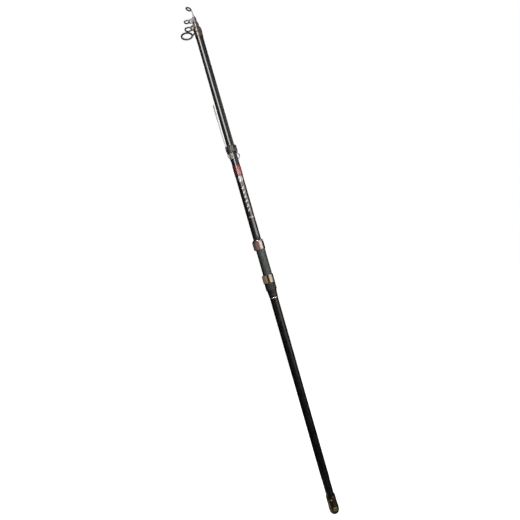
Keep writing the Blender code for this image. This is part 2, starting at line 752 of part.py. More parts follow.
def build_guides(root, section_2, section_3):
    """The three guides on the mouths of the butt and of sections 2 and 3."""
    line_guide(("guide_4_frame", "guide_4_ring"), root,
               blank_radius(BUTT_TOP - GUIDE_4_SLEEVE), BUTT_TOP, GUIDE_4_SLEEVE, GUIDE_4_REACH,
               GUIDE_4_DROP, GUIDE_4_HOLDER_OUTER, GUIDE_4_HOLDER_INNER, GUIDE_4_EYE, ROUND,
               bridge=True)
    line_guide(("guide_3_frame", "guide_3_ring"), section_2, SECTION_2_MOUTH_OD / 2 + 0.0001,
               SECTION_2_TOP, GUIDE_3_SLEEVE, GUIDE_3_REACH, GUIDE_3_DROP,
               GUIDE_3_HOLDER_OUTER, GUIDE_3_HOLDER_INNER, GUIDE_3_EYE, ROUND)
    line_guide(("guide_2_frame", "guide_2_ring"), section_3, SECTION_3_MOUTH_OD / 2 + 0.0001,
               SECTION_3_TOP, GUIDE_2_SLEEVE, GUIDE_2_REACH, GUIDE_2_DROP,
               GUIDE_2_HOLDER_OUTER, GUIDE_2_HOLDER_INNER, GUIDE_2_EYE, SMALL_ROUND)


def build_tip_top(tip):
    """The tip-top: a tube on the tip's end, a bent stem and a leaned ring."""
    bore = TIP_TOP_OD / 2 + FIT
    base = SECTION_3_TOP + FIT
    top = base + TIP_TUBE
    centre = Vector((-TIP_RING_REACH, 0, SECTION_3_TOP + TIP_RING_RISE))
    matrix = lean_matrix(centre, TIP_LEAN)
    frame = turned("tip_top_frame", [(bore + TIP_TUBE_WALL * 0.6, top),
                                     (bore + TIP_TUBE_WALL, top - TIP_TUBE * 0.2),
                                     (bore + TIP_TUBE_WALL, base)], TINY_ROUND, closed=False)
    edge = matrix @ Vector(((TIP_HOLDER_OUTER + TIP_HOLDER_INNER) / 2, 0, 0))
    stem = wire("tip_top_stem", [(0, 0, top - TIP_STEM), (0, 0, top), tuple(edge)], TIP_STEM)
    disc = holder_disc("tip_top_disc", matrix, TIP_HOLDER_OUTER, GUIDE_HOLDER_HEIGHT, SMALL_ROUND)
    join(frame, stem, disc)
    blind = Matrix.Translation((0, 0, (base + TIP_END) / 2))
    cut(frame, hole("tip_top_bore", blind, bore, TIP_END - base + 2 * FIT, TINY_ROUND),
        hole("tip_top_eye", matrix, TIP_HOLDER_INNER, 4 * GUIDE_HOLDER_HEIGHT, SMALL_ROUND))
    dress(frame, "smoked")
    seat(frame, tip)
    guide_ring("tip_top_ring", matrix, TIP_HOLDER_INNER, TIP_EYE, tip)


def build_stripper(root, fold):
    """The fold-down stripper guide: collar with ears, pin, foot, frame, ring and keeper loop."""
    bore = BUTT_RADIUS + FIT
    pivot = Vector((-PIVOT_REACH, 0, PIVOT_HEIGHT))
    collar = turned("stripper_collar", [(COLLAR_RADIUS - COLLAR_CHAMFER, COLLAR_HEIGHT),
                                        (COLLAR_RADIUS, COLLAR_HEIGHT - COLLAR_CHAMFER),
                                        (COLLAR_RADIUS, COLLAR_CHAMFER / 3),
                                        (COLLAR_RADIUS - COLLAR_CHAMFER / 3, 0)],
                    closed=False, location=(0, 0, COLLAR_START))
    ear_low = COLLAR_START + COLLAR_HEIGHT - EAR_HEIGHT
    ear_high = COLLAR_START + COLLAR_HEIGHT - COLLAR_CHAMFER / 2
    join(collar, box("collar_ears", (-EAR_REACH, -EAR_WIDTH / 2, ear_low),
                     (-BUTT_RADIUS / 2, EAR_WIDTH / 2, ear_high)))
    slot_low = PIVOT_HEIGHT - KNUCKLE_RADIUS - RUN
    pin_hole = PIN_RADIUS + RUN
    middle = Matrix.Translation((0, 0, COLLAR_START))
    cut(collar, hole("collar_bore", middle, bore, 4 * COLLAR_HEIGHT),
        box("collar_slot", (-2 * EAR_REACH, -SLOT_WIDTH / 2, slot_low),
            (-BUTT_RADIUS / 2, SLOT_WIDTH / 2, COLLAR_START + 2 * COLLAR_HEIGHT)),
        cross_rod("collar_pin_hole", pivot, EAR_WIDTH, pin_hole))
    dress(collar, "plastic")
    seat(collar, root)

    pin = cross_rod("stripper_pin", pivot, EAR_WIDTH / 2 - PIN_HEAD_PLAY, PIN_RADIUS)
    dress(pin, "steel")
    seat(pin, root)

    foot_top = COLLAR_START - FIT
    foot_low = foot_top - FOOT_HEIGHT
    foot = turned("stripper_foot", [(bore + FOOT_WALL, FOOT_HEIGHT), (bore + FOOT_WALL, 0)],
                  closed=False, location=(0, 0, foot_low))
    pad_root = math.sqrt(bore ** 2 - (FOOT_PAD_WIDTH / 2) ** 2)
    join(foot, gusset("foot_pad", (-pad_root, 0, (foot_low + foot_top) / 2),
                      (-FOOT_PAD_REACH, 0, foot_top - FOOT_WALL - FOOT_PAD_END / 2),
                      FOOT_PAD_WIDTH, FOOT_HEIGHT - 2 * FOOT_WALL, FOOT_PAD_END))
    cut(foot, hole("foot_bore", Matrix.Translation((0, 0, foot_low)), bore, 4 * FOOT_HEIGHT),
        box("foot_opening", (-FOOT_EDGE, -2 * COLLAR_RADIUS, foot_low - FOOT_WALL),
            (2 * COLLAR_RADIUS, 2 * COLLAR_RADIUS, foot_top + FOOT_WALL)))
    dress(foot, "steel")
    seat(foot, root)

    knuckle_half = SLOT_WIDTH / 2 - RUN
    frame = cross_rod("stripper_frame", pivot, knuckle_half, KNUCKLE_RADIUS)
    up = Vector((0, 0, 1))
    crank = Vector((-STRIPPER_CRANK, 0, 0))
    centre = pivot + crank + up * STRIPPER_REACH
    flat = Matrix.Translation(centre) @ Matrix.Rotation(math.pi / 2, 4, "Y")
    neck = bar("stripper_neck", pivot, pivot + crank + up * (STRIPPER_NECK + STRIPPER_LEG),
               2 * knuckle_half - FIT, STRIPPER_PLATE * 0.9)
    disc = holder_disc("stripper_disc", flat, STRIPPER_HOLDER_OUTER, STRIPPER_PLATE)
    legs = []
    for side in (-1, 1):
        start = pivot + crank + up * STRIPPER_NECK
        start += Vector((0, side * (knuckle_half - STRIPPER_LEG / 2), 0))
        end = centre + Vector((0, side * (STRIPPER_HOLDER_OUTER - STRIPPER_LEG / 2), 0))
        legs.append(bar(f"stripper_leg_{side}", start, end, STRIPPER_LEG, STRIPPER_PLATE * 0.8))
    join(frame, neck, disc, *legs)
    cut(frame, hole("stripper_eye", flat, STRIPPER_HOLDER_INNER, 6 * STRIPPER_PLATE),
        cross_rod("knuckle_hole", pivot, EAR_WIDTH, pin_hole))
    dress(frame, "steel")
    seat(frame, fold)
    guide_ring("stripper_ring", flat, STRIPPER_HOLDER_INNER, STRIPPER_EYE, fold, ROUND)

    clear = bore + KEEPER_WIRE
    foot_length = 3 * KEEPER_WIRE
    loop_high = COLLAR_START - FIT - foot_length
    steps = 10
    route = [(clear, 0, loop_high + foot_length)]
    for i in range(steps + 1):
        share = i / steps
        route.append((clear + KEEPER_BULGE * math.sin(math.pi * share) ** 0.7, 0,
                      loop_high - KEEPER_LENGTH * share))
    route.append((clear, 0, loop_high - KEEPER_LENGTH - foot_length))
    keeper = wire("keeper_loop", route, KEEPER_WIRE)
    dress(keeper, "winding")
    seat(keeper, root)


def build():
    """Build the rod."""
    root = body("butt_section")
    carrier = body("cap_carrier")
    cap_body = body("butt_cap_turn")
    section_2 = body("section_2", (0, 0, SECTIONS_START))
    section_3 = body("section_3", (0, 0, SECTIONS_START))
    tip = body("tip_section", (0, 0, SECTIONS_START))
    hood_body = body("sliding_hood", (0, 0, HOOD_START))
    nut_body = body("lock_nut_turn", (0, 0, SEAT_START))
    fold = body("stripper_fold", (-PIVOT_REACH, 0, PIVOT_HEIGHT))
    build_butt(root)
    build_cap(carrier, cap_body)
    build_sections(section_2, section_3, tip)
    build_reel_seat(root, hood_body, nut_body)
    build_guides(root, section_2, section_3)
    build_tip_top(tip)
    build_stripper(root, fold)


clear_scene()
PARTS = new_collection("telescopic_fishing_rod")
CUTTERS = new_collection("cutters")
build()
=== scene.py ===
"""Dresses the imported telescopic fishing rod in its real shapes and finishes, for Blender 4.5.

Sizes are in metres, in the part's own frame: the end of the butt cap is at the origin, the tip
points along +Z and the line guides stand on the -X side.
"""

import logging
import math
from dataclasses import dataclass
from enum import Enum
from functools import partial
from typing import Callable, Sequence

import bmesh
import bpy
from mathutils import Matrix, Vector


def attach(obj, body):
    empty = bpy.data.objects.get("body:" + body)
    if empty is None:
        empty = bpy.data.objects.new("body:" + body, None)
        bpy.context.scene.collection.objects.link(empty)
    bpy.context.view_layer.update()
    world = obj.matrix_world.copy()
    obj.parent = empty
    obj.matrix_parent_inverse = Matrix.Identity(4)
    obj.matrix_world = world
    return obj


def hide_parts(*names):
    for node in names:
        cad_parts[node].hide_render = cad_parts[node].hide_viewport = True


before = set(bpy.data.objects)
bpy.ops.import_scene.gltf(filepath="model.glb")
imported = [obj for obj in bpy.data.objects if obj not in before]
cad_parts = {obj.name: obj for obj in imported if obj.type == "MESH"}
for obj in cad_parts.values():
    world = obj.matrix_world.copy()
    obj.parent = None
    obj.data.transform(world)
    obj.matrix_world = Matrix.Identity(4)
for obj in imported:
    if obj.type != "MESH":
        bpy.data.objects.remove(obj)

Tree = bpy.types.NodeTree
Node = bpy.types.Node
Socket = bpy.types.NodeSocket
Piece = bpy.types.Object
Loop = list[Vector]
Radius = Callable[[float, float], float]
Outline = list[tuple[float | Radius, float]]

LOG = logging.getLogger("fishing_rod")

FIT = 0.0003
BLANK_START = 0.0126
SECTIONS_START = 0.0209
TAPER_START = 1.000
BUTT_TOP = 1.320
SECTION_2_TOP = 1.3353
SECTION_3_TOP = 1.3516
TIP_END = 1.3566
BUTT_RADIUS = 0.01035
MOUTH_RADIUS = 0.00975
OVER_BLANK = 0.01065

ROUND = 96
FINE_ROUND = 144
SMOOTH_ANGLE = math.radians(31)
STRAIGHT = -0.985


class Body(Enum):
    """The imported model's moving bodies, by their names there."""

    BUTT = "butt_section"
    CAP_CARRIER = "cap_carrier"
    CAP = "butt_cap_turn"
    SECTION_2 = "section_2"
    SECTION_3 = "section_3"
    TIP = "tip_section"
    HOOD = "sliding_hood"
    NUT = "lock_nut_turn"
    STRIPPER = "stripper_fold"


class Slot(Enum):
    """The record's material slots."""

    STEEL = "polished steel"
    SMOKED = "smoke-plated steel"
    GUNMETAL = "gunmetal cap"
    RUBBER = "black rubber"
    BLANK = "black blank"
    SLEEVE = "shrink sleeve"
    DARK_PLASTIC = "dark plastic"
    SEAT_PLASTIC = "seat plastic"
    RED = "red winding"
    MAROON = "maroon winding"
    BROWN = "brown winding"
    RING = "guide ring"


def linear(code: str) -> tuple[float, ...]:
    """Turn an sRGB hex colour into linear light.

    Args:
        code: the colour, such as "#7F7F7F".

    Returns:
        Linear red, green and blue, and an alpha of 1.
    """
    values = [int(code[start:start + 2], 16) / 255 for start in (1, 3, 5)]
    return (*(value / 12.92 if value <= 0.04045 else ((value + 0.055) / 1.055) ** 2.4
              for value in values), 1.0)


def add_node(tree: Tree, kind: str, inputs: dict | Sequence = (), **settings: str) -> Node:
    """Add a shader node with its settings and links.

    Args:
        tree: the node tree that gets the node.
        kind: the node's type without its "ShaderNode" prefix.
        inputs: values to set, and nodes or sockets to link, in order or by the inputs' names.
        settings: the node's attributes.

    Returns:
        The new node.
    """
    node = tree.nodes.new("ShaderNode" + kind)
    for key, value in settings.items():
        setattr(node, key, value)
    for key, value in inputs.items() if isinstance(inputs, dict) else enumerate(inputs):
        if isinstance(value, Node):
            value = value.outputs[0]
        if isinstance(value, Socket):
            tree.links.new(value, node.inputs[key])
        else:
            node.inputs[key].default_value = value
    return node


def colour_ramp(tree: Tree, factor: Node | Socket, stops: dict[float, str]) -> Node:
    """Spread hex colours over a factor.

    Args:
        tree: the node tree.
        factor: a value from 0 to 1.
        stops: places from 0 to 1, upwards, with their sRGB hex colours.

    Returns:
        The ramp.
    """
    node = add_node(tree, "ValToRGB", (factor,))
    elements = node.color_ramp.elements
    places = list(stops)
    for element, place in zip(elements, (places[0], places[-1])):
        element.position, element.color = place, linear(stops[place])
    for place in places[1:-1]:
        elements.new(place).color = linear(stops[place])
    return node


def round_coordinates(tree: Tree) -> tuple[Socket, Node, Socket]:
    """Read the place on a piece that is round about the rod's axis.

    Args:
        tree: the node tree.

    Returns:
        The place, the angle about the axis in turns, and the height in metres.
    """
    place = add_node(tree, "TexCoord").outputs["Object"]
    parts = add_node(tree, "SeparateXYZ", (place,))
    angle = add_node(tree, "Math", (parts.outputs["Y"], parts.outputs["X"]), operation="ARCTAN2")
    turns = add_node(tree, "Math", (angle, 2 * math.pi), operation="DIVIDE")
    return place, turns, parts.outputs["Z"]


def lines_in(tree: Tree, phase: Node, width: float) -> Node:
    """Mark a soft line wherever a phase is whole.

    Args:
        tree: the node tree.
        phase: the phase.
        width: the line's half width, as a share of the phase.

    Returns:
        0 in the middle of a line and 1 beyond it.
    """
    saw = add_node(tree, "Math", (phase, 0.5), operation="PINGPONG")
    return add_node(tree, "MapRange", (saw, 0.0, width), interpolation_type="SMOOTHSTEP")


def seen_directly(tree: Tree) -> Node:
    """Tell the rays that show a surface from the rays that only light things.

    Args:
        tree: the node tree.

    Returns:
        1 for camera, glossy and transmission rays, and 0 for the others.
    """
    path = add_node(tree, "LightPath")
    seen = path.outputs["Is Camera Ray"]
    for ray in ("Is Glossy Ray", "Is Transmission Ray"):
        seen = add_node(tree, "Math", (seen, path.outputs[ray]), operation="MAXIMUM")
    return seen


def new_material(name: str) -> tuple[bpy.types.Material, Tree]:
    """Make an empty node material.

    Args:
        name: what the real material is and how its surface was made.

    Returns:
        The material and its empty node tree.
    """
    material = bpy.data.materials.new(name)
    material.use_nodes = True
    material.node_tree.nodes.clear()
    return material, material.node_tree


@dataclass(frozen=True)
class Finish:
    """A finish, named for what the real material is and how its surface was made."""

    name: str

    def shade(self, tree: Tree) -> dict:
        """Add the nodes of the finish.

        Args:
            tree: the material's node tree.

        Returns:
            The Principled shader's inputs, by name.
        """
        raise NotImplementedError

    def material(self) -> bpy.types.Material:
        """Make the material when it is first asked for.

        Returns:
            The material.
        """
        material = bpy.data.materials.get(self.name)
        if material is None:
            material, tree = new_material(self.name)
            shader = add_node(tree, "BsdfPrincipled", self.shade(tree))
            add_node(tree, "OutputMaterial", {"Surface": shader})
        return material


@dataclass(frozen=True)
class CrossWoundLaminate(Finish):
    """Carbon and glass tape rolled crosswise on a mandrel, sanded and clear-coated.

    The eye gets a deep black gloss with one sharp highlight, and faint diamonds of crossed tape
    edges where it mirrors something grey.
    """

    starts: int
    tape: float = 0.0043
    colour: str = "#0A0A0A"
    edge_colour: str = "#3A3836"
    roughness: float = 0.36
    coat_roughness: float = 0.05
    edge_share: float = 0.13
    ridge: float = 0.00003
    cloud: float = 0.01111
    sheen_below_coat: float = 0.15

    def shade(self, tree: Tree) -> dict:
        """Draw two opposed helices of tape edges under a smooth coat.

        Args:
            tree: the node tree.

        Returns:
            The Principled shader's inputs, by name.
        """
        place, turns, height = round_coordinates(tree)
        rows = add_node(tree, "Math", (height, self.tape), operation="DIVIDE")
        edges = []
        for starts in (self.starts, -self.starts):
            phase = add_node(tree, "Math", (turns, starts, rows), operation="MULTIPLY_ADD")
            edges.append(lines_in(tree, phase, self.edge_share))
        flat = add_node(tree, "Math", edges, operation="MINIMUM")
        cloud = add_node(tree, "TexNoise", {"Vector": place, "Scale": 1 / self.cloud,
                                            "Detail": 4.0, "Roughness": 0.55})
        share = add_node(tree, "Math", (flat, cloud), operation="MULTIPLY")
        colour = colour_ramp(tree, share, {0.0: self.edge_colour, 0.35: self.colour,
                                           1.0: self.colour})
        bump = add_node(tree, "Bump", {"Height": flat, "Strength": 0.9, "Distance": self.ridge})
        rough = add_node(tree, "MapRange", (cloud, 0.3, 0.7, self.roughness - 0.06,
                                            self.roughness + 0.06))
        return {"Base Color": colour, "Roughness": rough, "IOR": 1.55,
                "Specular IOR Level": self.sheen_below_coat, "Normal": bump, "Coat Weight": 1.0,
                "Coat Roughness": self.coat_roughness, "Coat IOR": 1.5}


@dataclass(frozen=True)
class ThreadWinding(Finish):
    """Nylon thread wound round the rod and sealed with epoxy.

    The eye gets close bands of thread that glow from inside, under a thick wet gloss. A real
    thread is 0.2 mm; it is drawn three times as coarse, so that it still shows.
    """

    colour: str
    shadow: str
    thread: float = 0.0006
    fibre: float = 0.003846

    def shade(self, tree: Tree) -> dict:
        """Draw the thread's rounds, which climb by one thread a turn, and its fibres.

        Args:
            tree: the node tree.

        Returns:
            The Principled shader's inputs, by name.
        """
        place, turns, height = round_coordinates(tree)
        rows = add_node(tree, "Math", (height, self.thread), operation="DIVIDE")
        climb = add_node(tree, "Math", (rows, turns), operation="SUBTRACT")
        thread = lines_in(tree, climb, 0.3)
        stretched = add_node(tree, "Mapping", {"Vector": place, "Scale": (1.0, 1.0, 6.0)})
        fibre = add_node(tree, "TexNoise", {"Vector": stretched, "Scale": 1 / self.fibre,
                                            "Detail": 3.0})
        share = add_node(tree, "Math", (thread, fibre), operation="MULTIPLY")
        bump = add_node(tree, "Bump", {"Height": thread, "Strength": 0.18,
                                       "Distance": self.thread * 0.15})
        return {"Base Color": colour_ramp(tree, share, {0.0: self.shadow, 0.55: self.colour}),
                "Roughness": 0.42, "IOR": 1.53, "Specular IOR Level": 0.25, "Normal": bump,
                "Coat Weight": 1.0, "Coat Roughness": 0.06, "Coat IOR": 1.52}


@dataclass(frozen=True)
class PolishedMetal(Finish):
    """Sheet or turned steel, polished or tumbled, then plated.

    The eye gets the room mirrored, clearly in bright plating and softly in smoked or matt plating,
    with hair-fine polishing marks.
    """

    colour: str = "#E6DED4"
    roughness: float = 0.13
    metallic: float = 1.0
    mark: float = 0.002381
    smudge: float = 0.007692

    def shade(self, tree: Tree) -> dict:
        """Draw polishing marks that run round the rod, and smudges.

        Args:
            tree: the node tree.

        Returns:
            The Principled shader's inputs, by name.
        """
        place = add_node(tree, "TexCoord").outputs["Object"]
        stretched = add_node(tree, "Mapping", {"Vector": place, "Scale": (0.2, 0.2, 4.0)})
        marks = add_node(tree, "TexNoise", {"Vector": stretched, "Scale": 1 / self.mark,
                                            "Detail": 2.0})
        smudge = add_node(tree, "TexNoise", {"Vector": place, "Scale": 1 / self.smudge,
                                             "Detail": 3.0})
        both = add_node(tree, "Math", (marks, smudge), operation="MULTIPLY")
        rough = add_node(tree, "MapRange", (both, 0.1, 0.45, self.roughness * 0.7,
                                            self.roughness * 1.5))
        bump = add_node(tree, "Bump", {"Height": marks, "Strength": 0.12, "Distance": 0.00004})
        return {"Base Color": linear(self.colour), "Metallic": self.metallic, "Roughness": rough,
                "Normal": bump}


@dataclass(frozen=True)
class TurnedAnodised(Finish):
    """Aluminium turned on a lathe, then anodised in gunmetal.

    The eye gets a brownish grey metal, softly satin, with fine rings from the turning tool, whose
    0.1 mm feed is drawn five times as coarse.
    """

    colour: str = "#746953"
    dark: str = "#574E3C"
    feed: float = 0.0005
    patch: float = 0.014286
    roughness: float = 0.21

    def shade(self, tree: Tree) -> dict:
        """Draw the tool's rings and patches of a darker tone.

        Args:
            tree: the node tree.

        Returns:
            The Principled shader's inputs, by name.
        """
        place, _turns, height = round_coordinates(tree)
        rows = add_node(tree, "Math", (height, self.feed), operation="DIVIDE")
        ring = add_node(tree, "TexNoise", {"W": rows, "Scale": 1.0, "Detail": 2.0},
                        noise_dimensions="1D")
        patch = add_node(tree, "TexNoise", {"Vector": place, "Scale": 1 / self.patch,
                                            "Detail": 4.0})
        share = add_node(tree, "Math", (ring, patch), operation="MULTIPLY")
        rough = add_node(tree, "MapRange", (ring, 0.2, 0.8, self.roughness * 0.75,
                                            self.roughness * 1.3))
        bump = add_node(tree, "Bump", {"Height": ring, "Strength": 0.35, "Distance": 0.00005})
        return {"Base Color": colour_ramp(tree, share, {0.08: self.dark, 0.42: self.colour}),
                "Metallic": 0.88, "Roughness": rough, "Normal": bump}


@dataclass(frozen=True)
class MouldedPlastic(Finish):
    """Injection-moulded nylon or rubber with a spark-eroded grain.

    The eye gets one even tone with a broad, soft highlight and a fine crystalline grain, which is
    0.1 mm on the real one and is drawn four times as coarse.
    """

    colour: str
    light: str
    roughness: float = 0.42
    grain: float = 0.0004
    cloud: float = 0.008333

    def shade(self, tree: Tree) -> dict:
        """Draw the grain and a soft cloud.

        Args:
            tree: the node tree.

        Returns:
            The Principled shader's inputs, by name.
        """
        place = add_node(tree, "TexCoord").outputs["Object"]
        cell = add_node(tree, "TexVoronoi", {"Vector": place, "Scale": 1 / self.grain,
                                             "Smoothness": 0.7}, feature="SMOOTH_F1")
        cloud = add_node(tree, "TexNoise", {"Vector": place, "Scale": 1 / self.cloud,
                                            "Detail": 5.0, "Roughness": 0.6})
        rough = add_node(tree, "MapRange", (cloud, 0.3, 0.7, self.roughness - 0.05,
                                            self.roughness + 0.07))
        bump = add_node(tree, "Bump", {"Height": cell, "Strength": 0.5, "Distance": 0.00004})
        return {"Base Color": colour_ramp(tree, cloud, {0.3: self.colour, 0.75: self.light}),
                "Roughness": rough, "IOR": 1.53, "Normal": bump}


@dataclass(frozen=True)
class ShrinkTube(Finish):
    """Polyolefin tube shrunk over the handle.

    The eye gets a satin black skin that follows the tape below it in faint spiral ripples.
    """

    colour: str = "#0C0C0D"
    light: str = "#191919"
    roughness: float = 0.3
    ripple: float = 0.0125
    pebble: float = 0.0011111
    cloud: float = 0.016667

    def shade(self, tree: Tree) -> dict:
        """Draw a spiral ripple and a fine pebble.

        Args:
            tree: the node tree.

        Returns:
            The Principled shader's inputs, by name.
        """
        place, turns, height = round_coordinates(tree)
        rows = add_node(tree, "Math", (height, self.ripple), operation="DIVIDE")
        phase = add_node(tree, "Math", (turns, 2.0, rows), operation="MULTIPLY_ADD")
        wave = add_node(tree, "Math", (phase, 0.5), operation="PINGPONG")
        pebble = add_node(tree, "TexNoise", {"Vector": place, "Scale": 1 / self.pebble,
                                             "Detail": 2.0})
        relief = add_node(tree, "Math", (wave, 2.0, pebble), operation="MULTIPLY_ADD")
        cloud = add_node(tree, "TexNoise", {"Vector": place, "Scale": 1 / self.cloud,
                                            "Detail": 4.0})
        rough = add_node(tree, "MapRange", (cloud, 0.3, 0.7, self.roughness - 0.05,
                                            self.roughness + 0.07))
        bump = add_node(tree, "Bump", {"Height": relief, "Strength": 0.35, "Distance": 0.00006})
        return {"Base Color": colour_ramp(tree, cloud, {0.35: self.colour, 0.8: self.light}),
                "Roughness": rough, "IOR": 1.5, "Normal": bump}


@dataclass(frozen=True)
class GlazedCeramic(Finish):
    """Sintered alumina, tumbled until it shines.

    The eye gets a hard ring with a glassy rim highlight and a faint cloud, a few millimetres
    across.
    """

    colour: str = "#120E0D"
    cloud_colour: str = "#241A19"
    cloud: float = 0.003125

    def shade(self, tree: Tree) -> dict:
        """Draw the cloud.

        Args:
            tree: the node tree.

        Returns:
            The Principled shader's inputs, by name.
        """
        place = add_node(tree, "TexCoord").outputs["Object"]
        cloud = add_node(tree, "TexNoise", {"Vector": place, "Scale": 1 / self.cloud,
                                            "Detail": 3.0})
        bump = add_node(tree, "Bump", {"Height": cloud, "Strength": 0.08, "Distance": 0.00003})
        return {"Base Color": colour_ramp(tree, cloud, {0.35: self.colour,
                                                        0.75: self.cloud_colour}),
                "Roughness": 0.24, "IOR": 1.6, "Normal": bump}


@dataclass(frozen=True)
class FoilTransfer(Finish):
    """Aluminium foil pressed on the blank and lacquered.

    The eye gets thin, dull silver marks, worn in patches about a millimetre across.
    """

    colour: str = "#B2B2AE"
    worn: str = "#7E7E7B"
    patch: float = 0.0011111

    def shade(self, tree: Tree) -> dict:
        """Draw the worn patches.

        Args:
            tree: the node tree.

        Returns:
            The Principled shader's inputs, by name.
        """
        place = add_node(tree, "TexCoord").outputs["Object"]
        patch = add_node(tree, "TexNoise", {"Vector": place, "Scale": 1 / self.patch,
                                            "Detail": 3.0})
        rough = add_node(tree, "MapRange", {"Value": patch, "To Min": 0.28, "To Max": 0.45})
        return {"Base Color": colour_ramp(tree, patch, {0.4: self.worn, 0.6: self.colour}),
                "Metallic": 0.5, "Roughness": rough, "Coat Weight": 0.6, "Coat Roughness": 0.06}


class Look(Enum):
    """Every finish on the rod."""

    BUTT_BLANK = CrossWoundLaminate("clear_coated_laminate_butt", starts=11)
    INNER_BLANK = CrossWoundLaminate("clear_coated_laminate_inner", starts=6, tape=0.004)
    TIP_BLANK = CrossWoundLaminate("clear_coated_laminate_tip", starts=3, tape=0.003)
    SLEEVE = ShrinkTube("shrunk_polyolefin")
    STEEL = PolishedMetal("bright_plated_steel", roughness=0.055)
    PRESSED_STEEL = PolishedMetal("tumbled_zinc_plated_steel", "#C0BEBA", 0.65, metallic=0.1)
    PALE_STEEL = PolishedMetal("matt_nickel_plated_steel", "#B4B2AE", 0.6, metallic=0.2)
    SMOKED_STEEL = PolishedMetal("smoke_plated_stamped_steel", "#8A838E", 0.45, metallic=0.5)
    KHAKI_STEEL = PolishedMetal("brown_smoke_plated_steel", "#544D42", 0.45, metallic=0.5)
    BLACK_STEEL = PolishedMetal("black_plated_stamped_steel", "#352E28", 0.4, metallic=0.6)
    MAROON_STEEL = PolishedMetal("maroon_plated_stamped_steel", "#40161F", 0.4, metallic=0.5)
    GUNMETAL = TurnedAnodised("gunmetal_anodised_aluminium")
    NYLON = MouldedPlastic("moulded_black_nylon", "#131315", "#1F1F22")
    COLLAR_NYLON = MouldedPlastic("moulded_warm_grey_nylon", "#333032", "#454143", 0.45)
    RIB_NYLON = MouldedPlastic("moulded_khaki_nylon", "#57533F", "#6A6650")
    DIPPED_WIRE = MouldedPlastic("dipped_brown_black_wire", "#171311", "#221C18", 0.65)
    SEAT_NYLON = MouldedPlastic("moulded_graphite_nylon", "#2A3330", "#38423F", 0.48)
    RUBBER = MouldedPlastic("moulded_black_rubber", "#121212", "#1E1E1E", 0.7)
    RED = ThreadWinding("red_thread_under_epoxy", "#A2142A", "#5A0814")
    MAROON = ThreadWinding("maroon_thread_under_epoxy", "#4A1216", "#200508")
    BROWN = ThreadWinding("brown_black_thread_under_epoxy", "#5C4B40", "#2E221C")
    CERAMIC = GlazedCeramic("tumbled_dark_alumina")
    MAROON_CERAMIC = GlazedCeramic("tumbled_maroon_alumina", "#2C1014", "#5A1824")
    PALE_CERAMIC = GlazedCeramic("tumbled_pale_alumina", "#B4B1AC", "#C8C5C0")
    FOIL = FoilTransfer("lacquered_silver_foil")


def levels(low: float, high: float, step: float) -> list[float]:
    """Return heights from low to high in even steps no longer than step."""
    count = max(1, math.ceil((high - low) / step))
    return [low + (high - low) * i / count for i in range(count + 1)]


def shares(steps: int) -> list[float]:
    """Return the shares from 0 to 1 in even steps."""
    return [i / steps for i in range(steps + 1)]


def polar(radius: float, angle: float, height: float) -> Vector:
    """Return the point at a radius, angle and height about the rod's axis."""
    return Vector((radius * math.cos(angle), radius * math.sin(angle), height))


def curve(start: Vector, bend: Vector, end: Vector, steps: int) -> list[Vector]:
    """Return points from start to end on the curve that leans towards bend."""
    return [start * (1 - t) ** 2 + bend * 2 * t * (1 - t) + end * t ** 2 for t in shares(steps)]


def mirrored(path: Sequence[Vector]) -> list[Vector]:
    """Return a path's points in reverse, on the other side of Y."""
    return [Vector((point.x, -point.y, point.z)) for point in reversed(path)]


def signed_power(value: float, power: float) -> float:
    """Return a value's power with the value's own sign."""
    return math.copysign(abs(value) ** power, value)


def oval(width: float, height: float, power: float = 1.0) -> Outline:
    """Make a section between an oval and a rounded bar.

    Args:
        width: its width.
        height: its height.
        power: 1 for an oval, and near 0.4 for a rounded bar.

    Returns:
        The closed section.
    """
    angles = [2 * math.pi * i / 20 for i in range(20)]
    return [(width / 2 * signed_power(math.cos(angle), power),
             height / 2 * signed_power(math.sin(angle), power)) for angle in angles]


def fillet(outline: Outline, radius: float, closed: bool = True) -> Outline:
    """Round an outline's corners.

    Args:
        outline: corners in the plane.
        radius: how far from a corner its rounding starts; short sides take less.
        closed: whether the last corner is joined to the first.

    Returns:
        The rounded outline.
    """
    rounded: Outline = []
    count = len(outline)
    for i, corner in enumerate(outline):
        here = Vector(corner)
        back = Vector(outline[i - 1]) - here
        ahead = Vector(outline[(i + 1) % count]) - here
        end = not closed and i in (0, count - 1)
        if end or back.normalized().dot(ahead.normalized()) < STRAIGHT:
            rounded.append(corner)
            continue
        reach = min(radius, 0.45 * back.length, 0.45 * ahead.length)
        points = curve(here + back.normalized() * reach, here, here + ahead.normalized() * reach, 3)
        rounded += [(point.x, point.y) for point in points]
    return rounded


def add_object(name: str, data: bpy.types.ID) -> Piece:
    """Put a new object in the scene.

    Args:
        name: its name.
        data: its mesh, light or camera.

    Returns:
        The object.
    """
    obj = bpy.data.objects.new(name, data)
    bpy.context.scene.collection.objects.link(obj)
    return obj


def soften(mesh: bpy.types.Mesh) -> None:
    """Shade a mesh smooth, but for its sharp edges."""
    mesh.shade_smooth()
    mesh.set_sharp_from_angle(angle=SMOOTH_ANGLE)


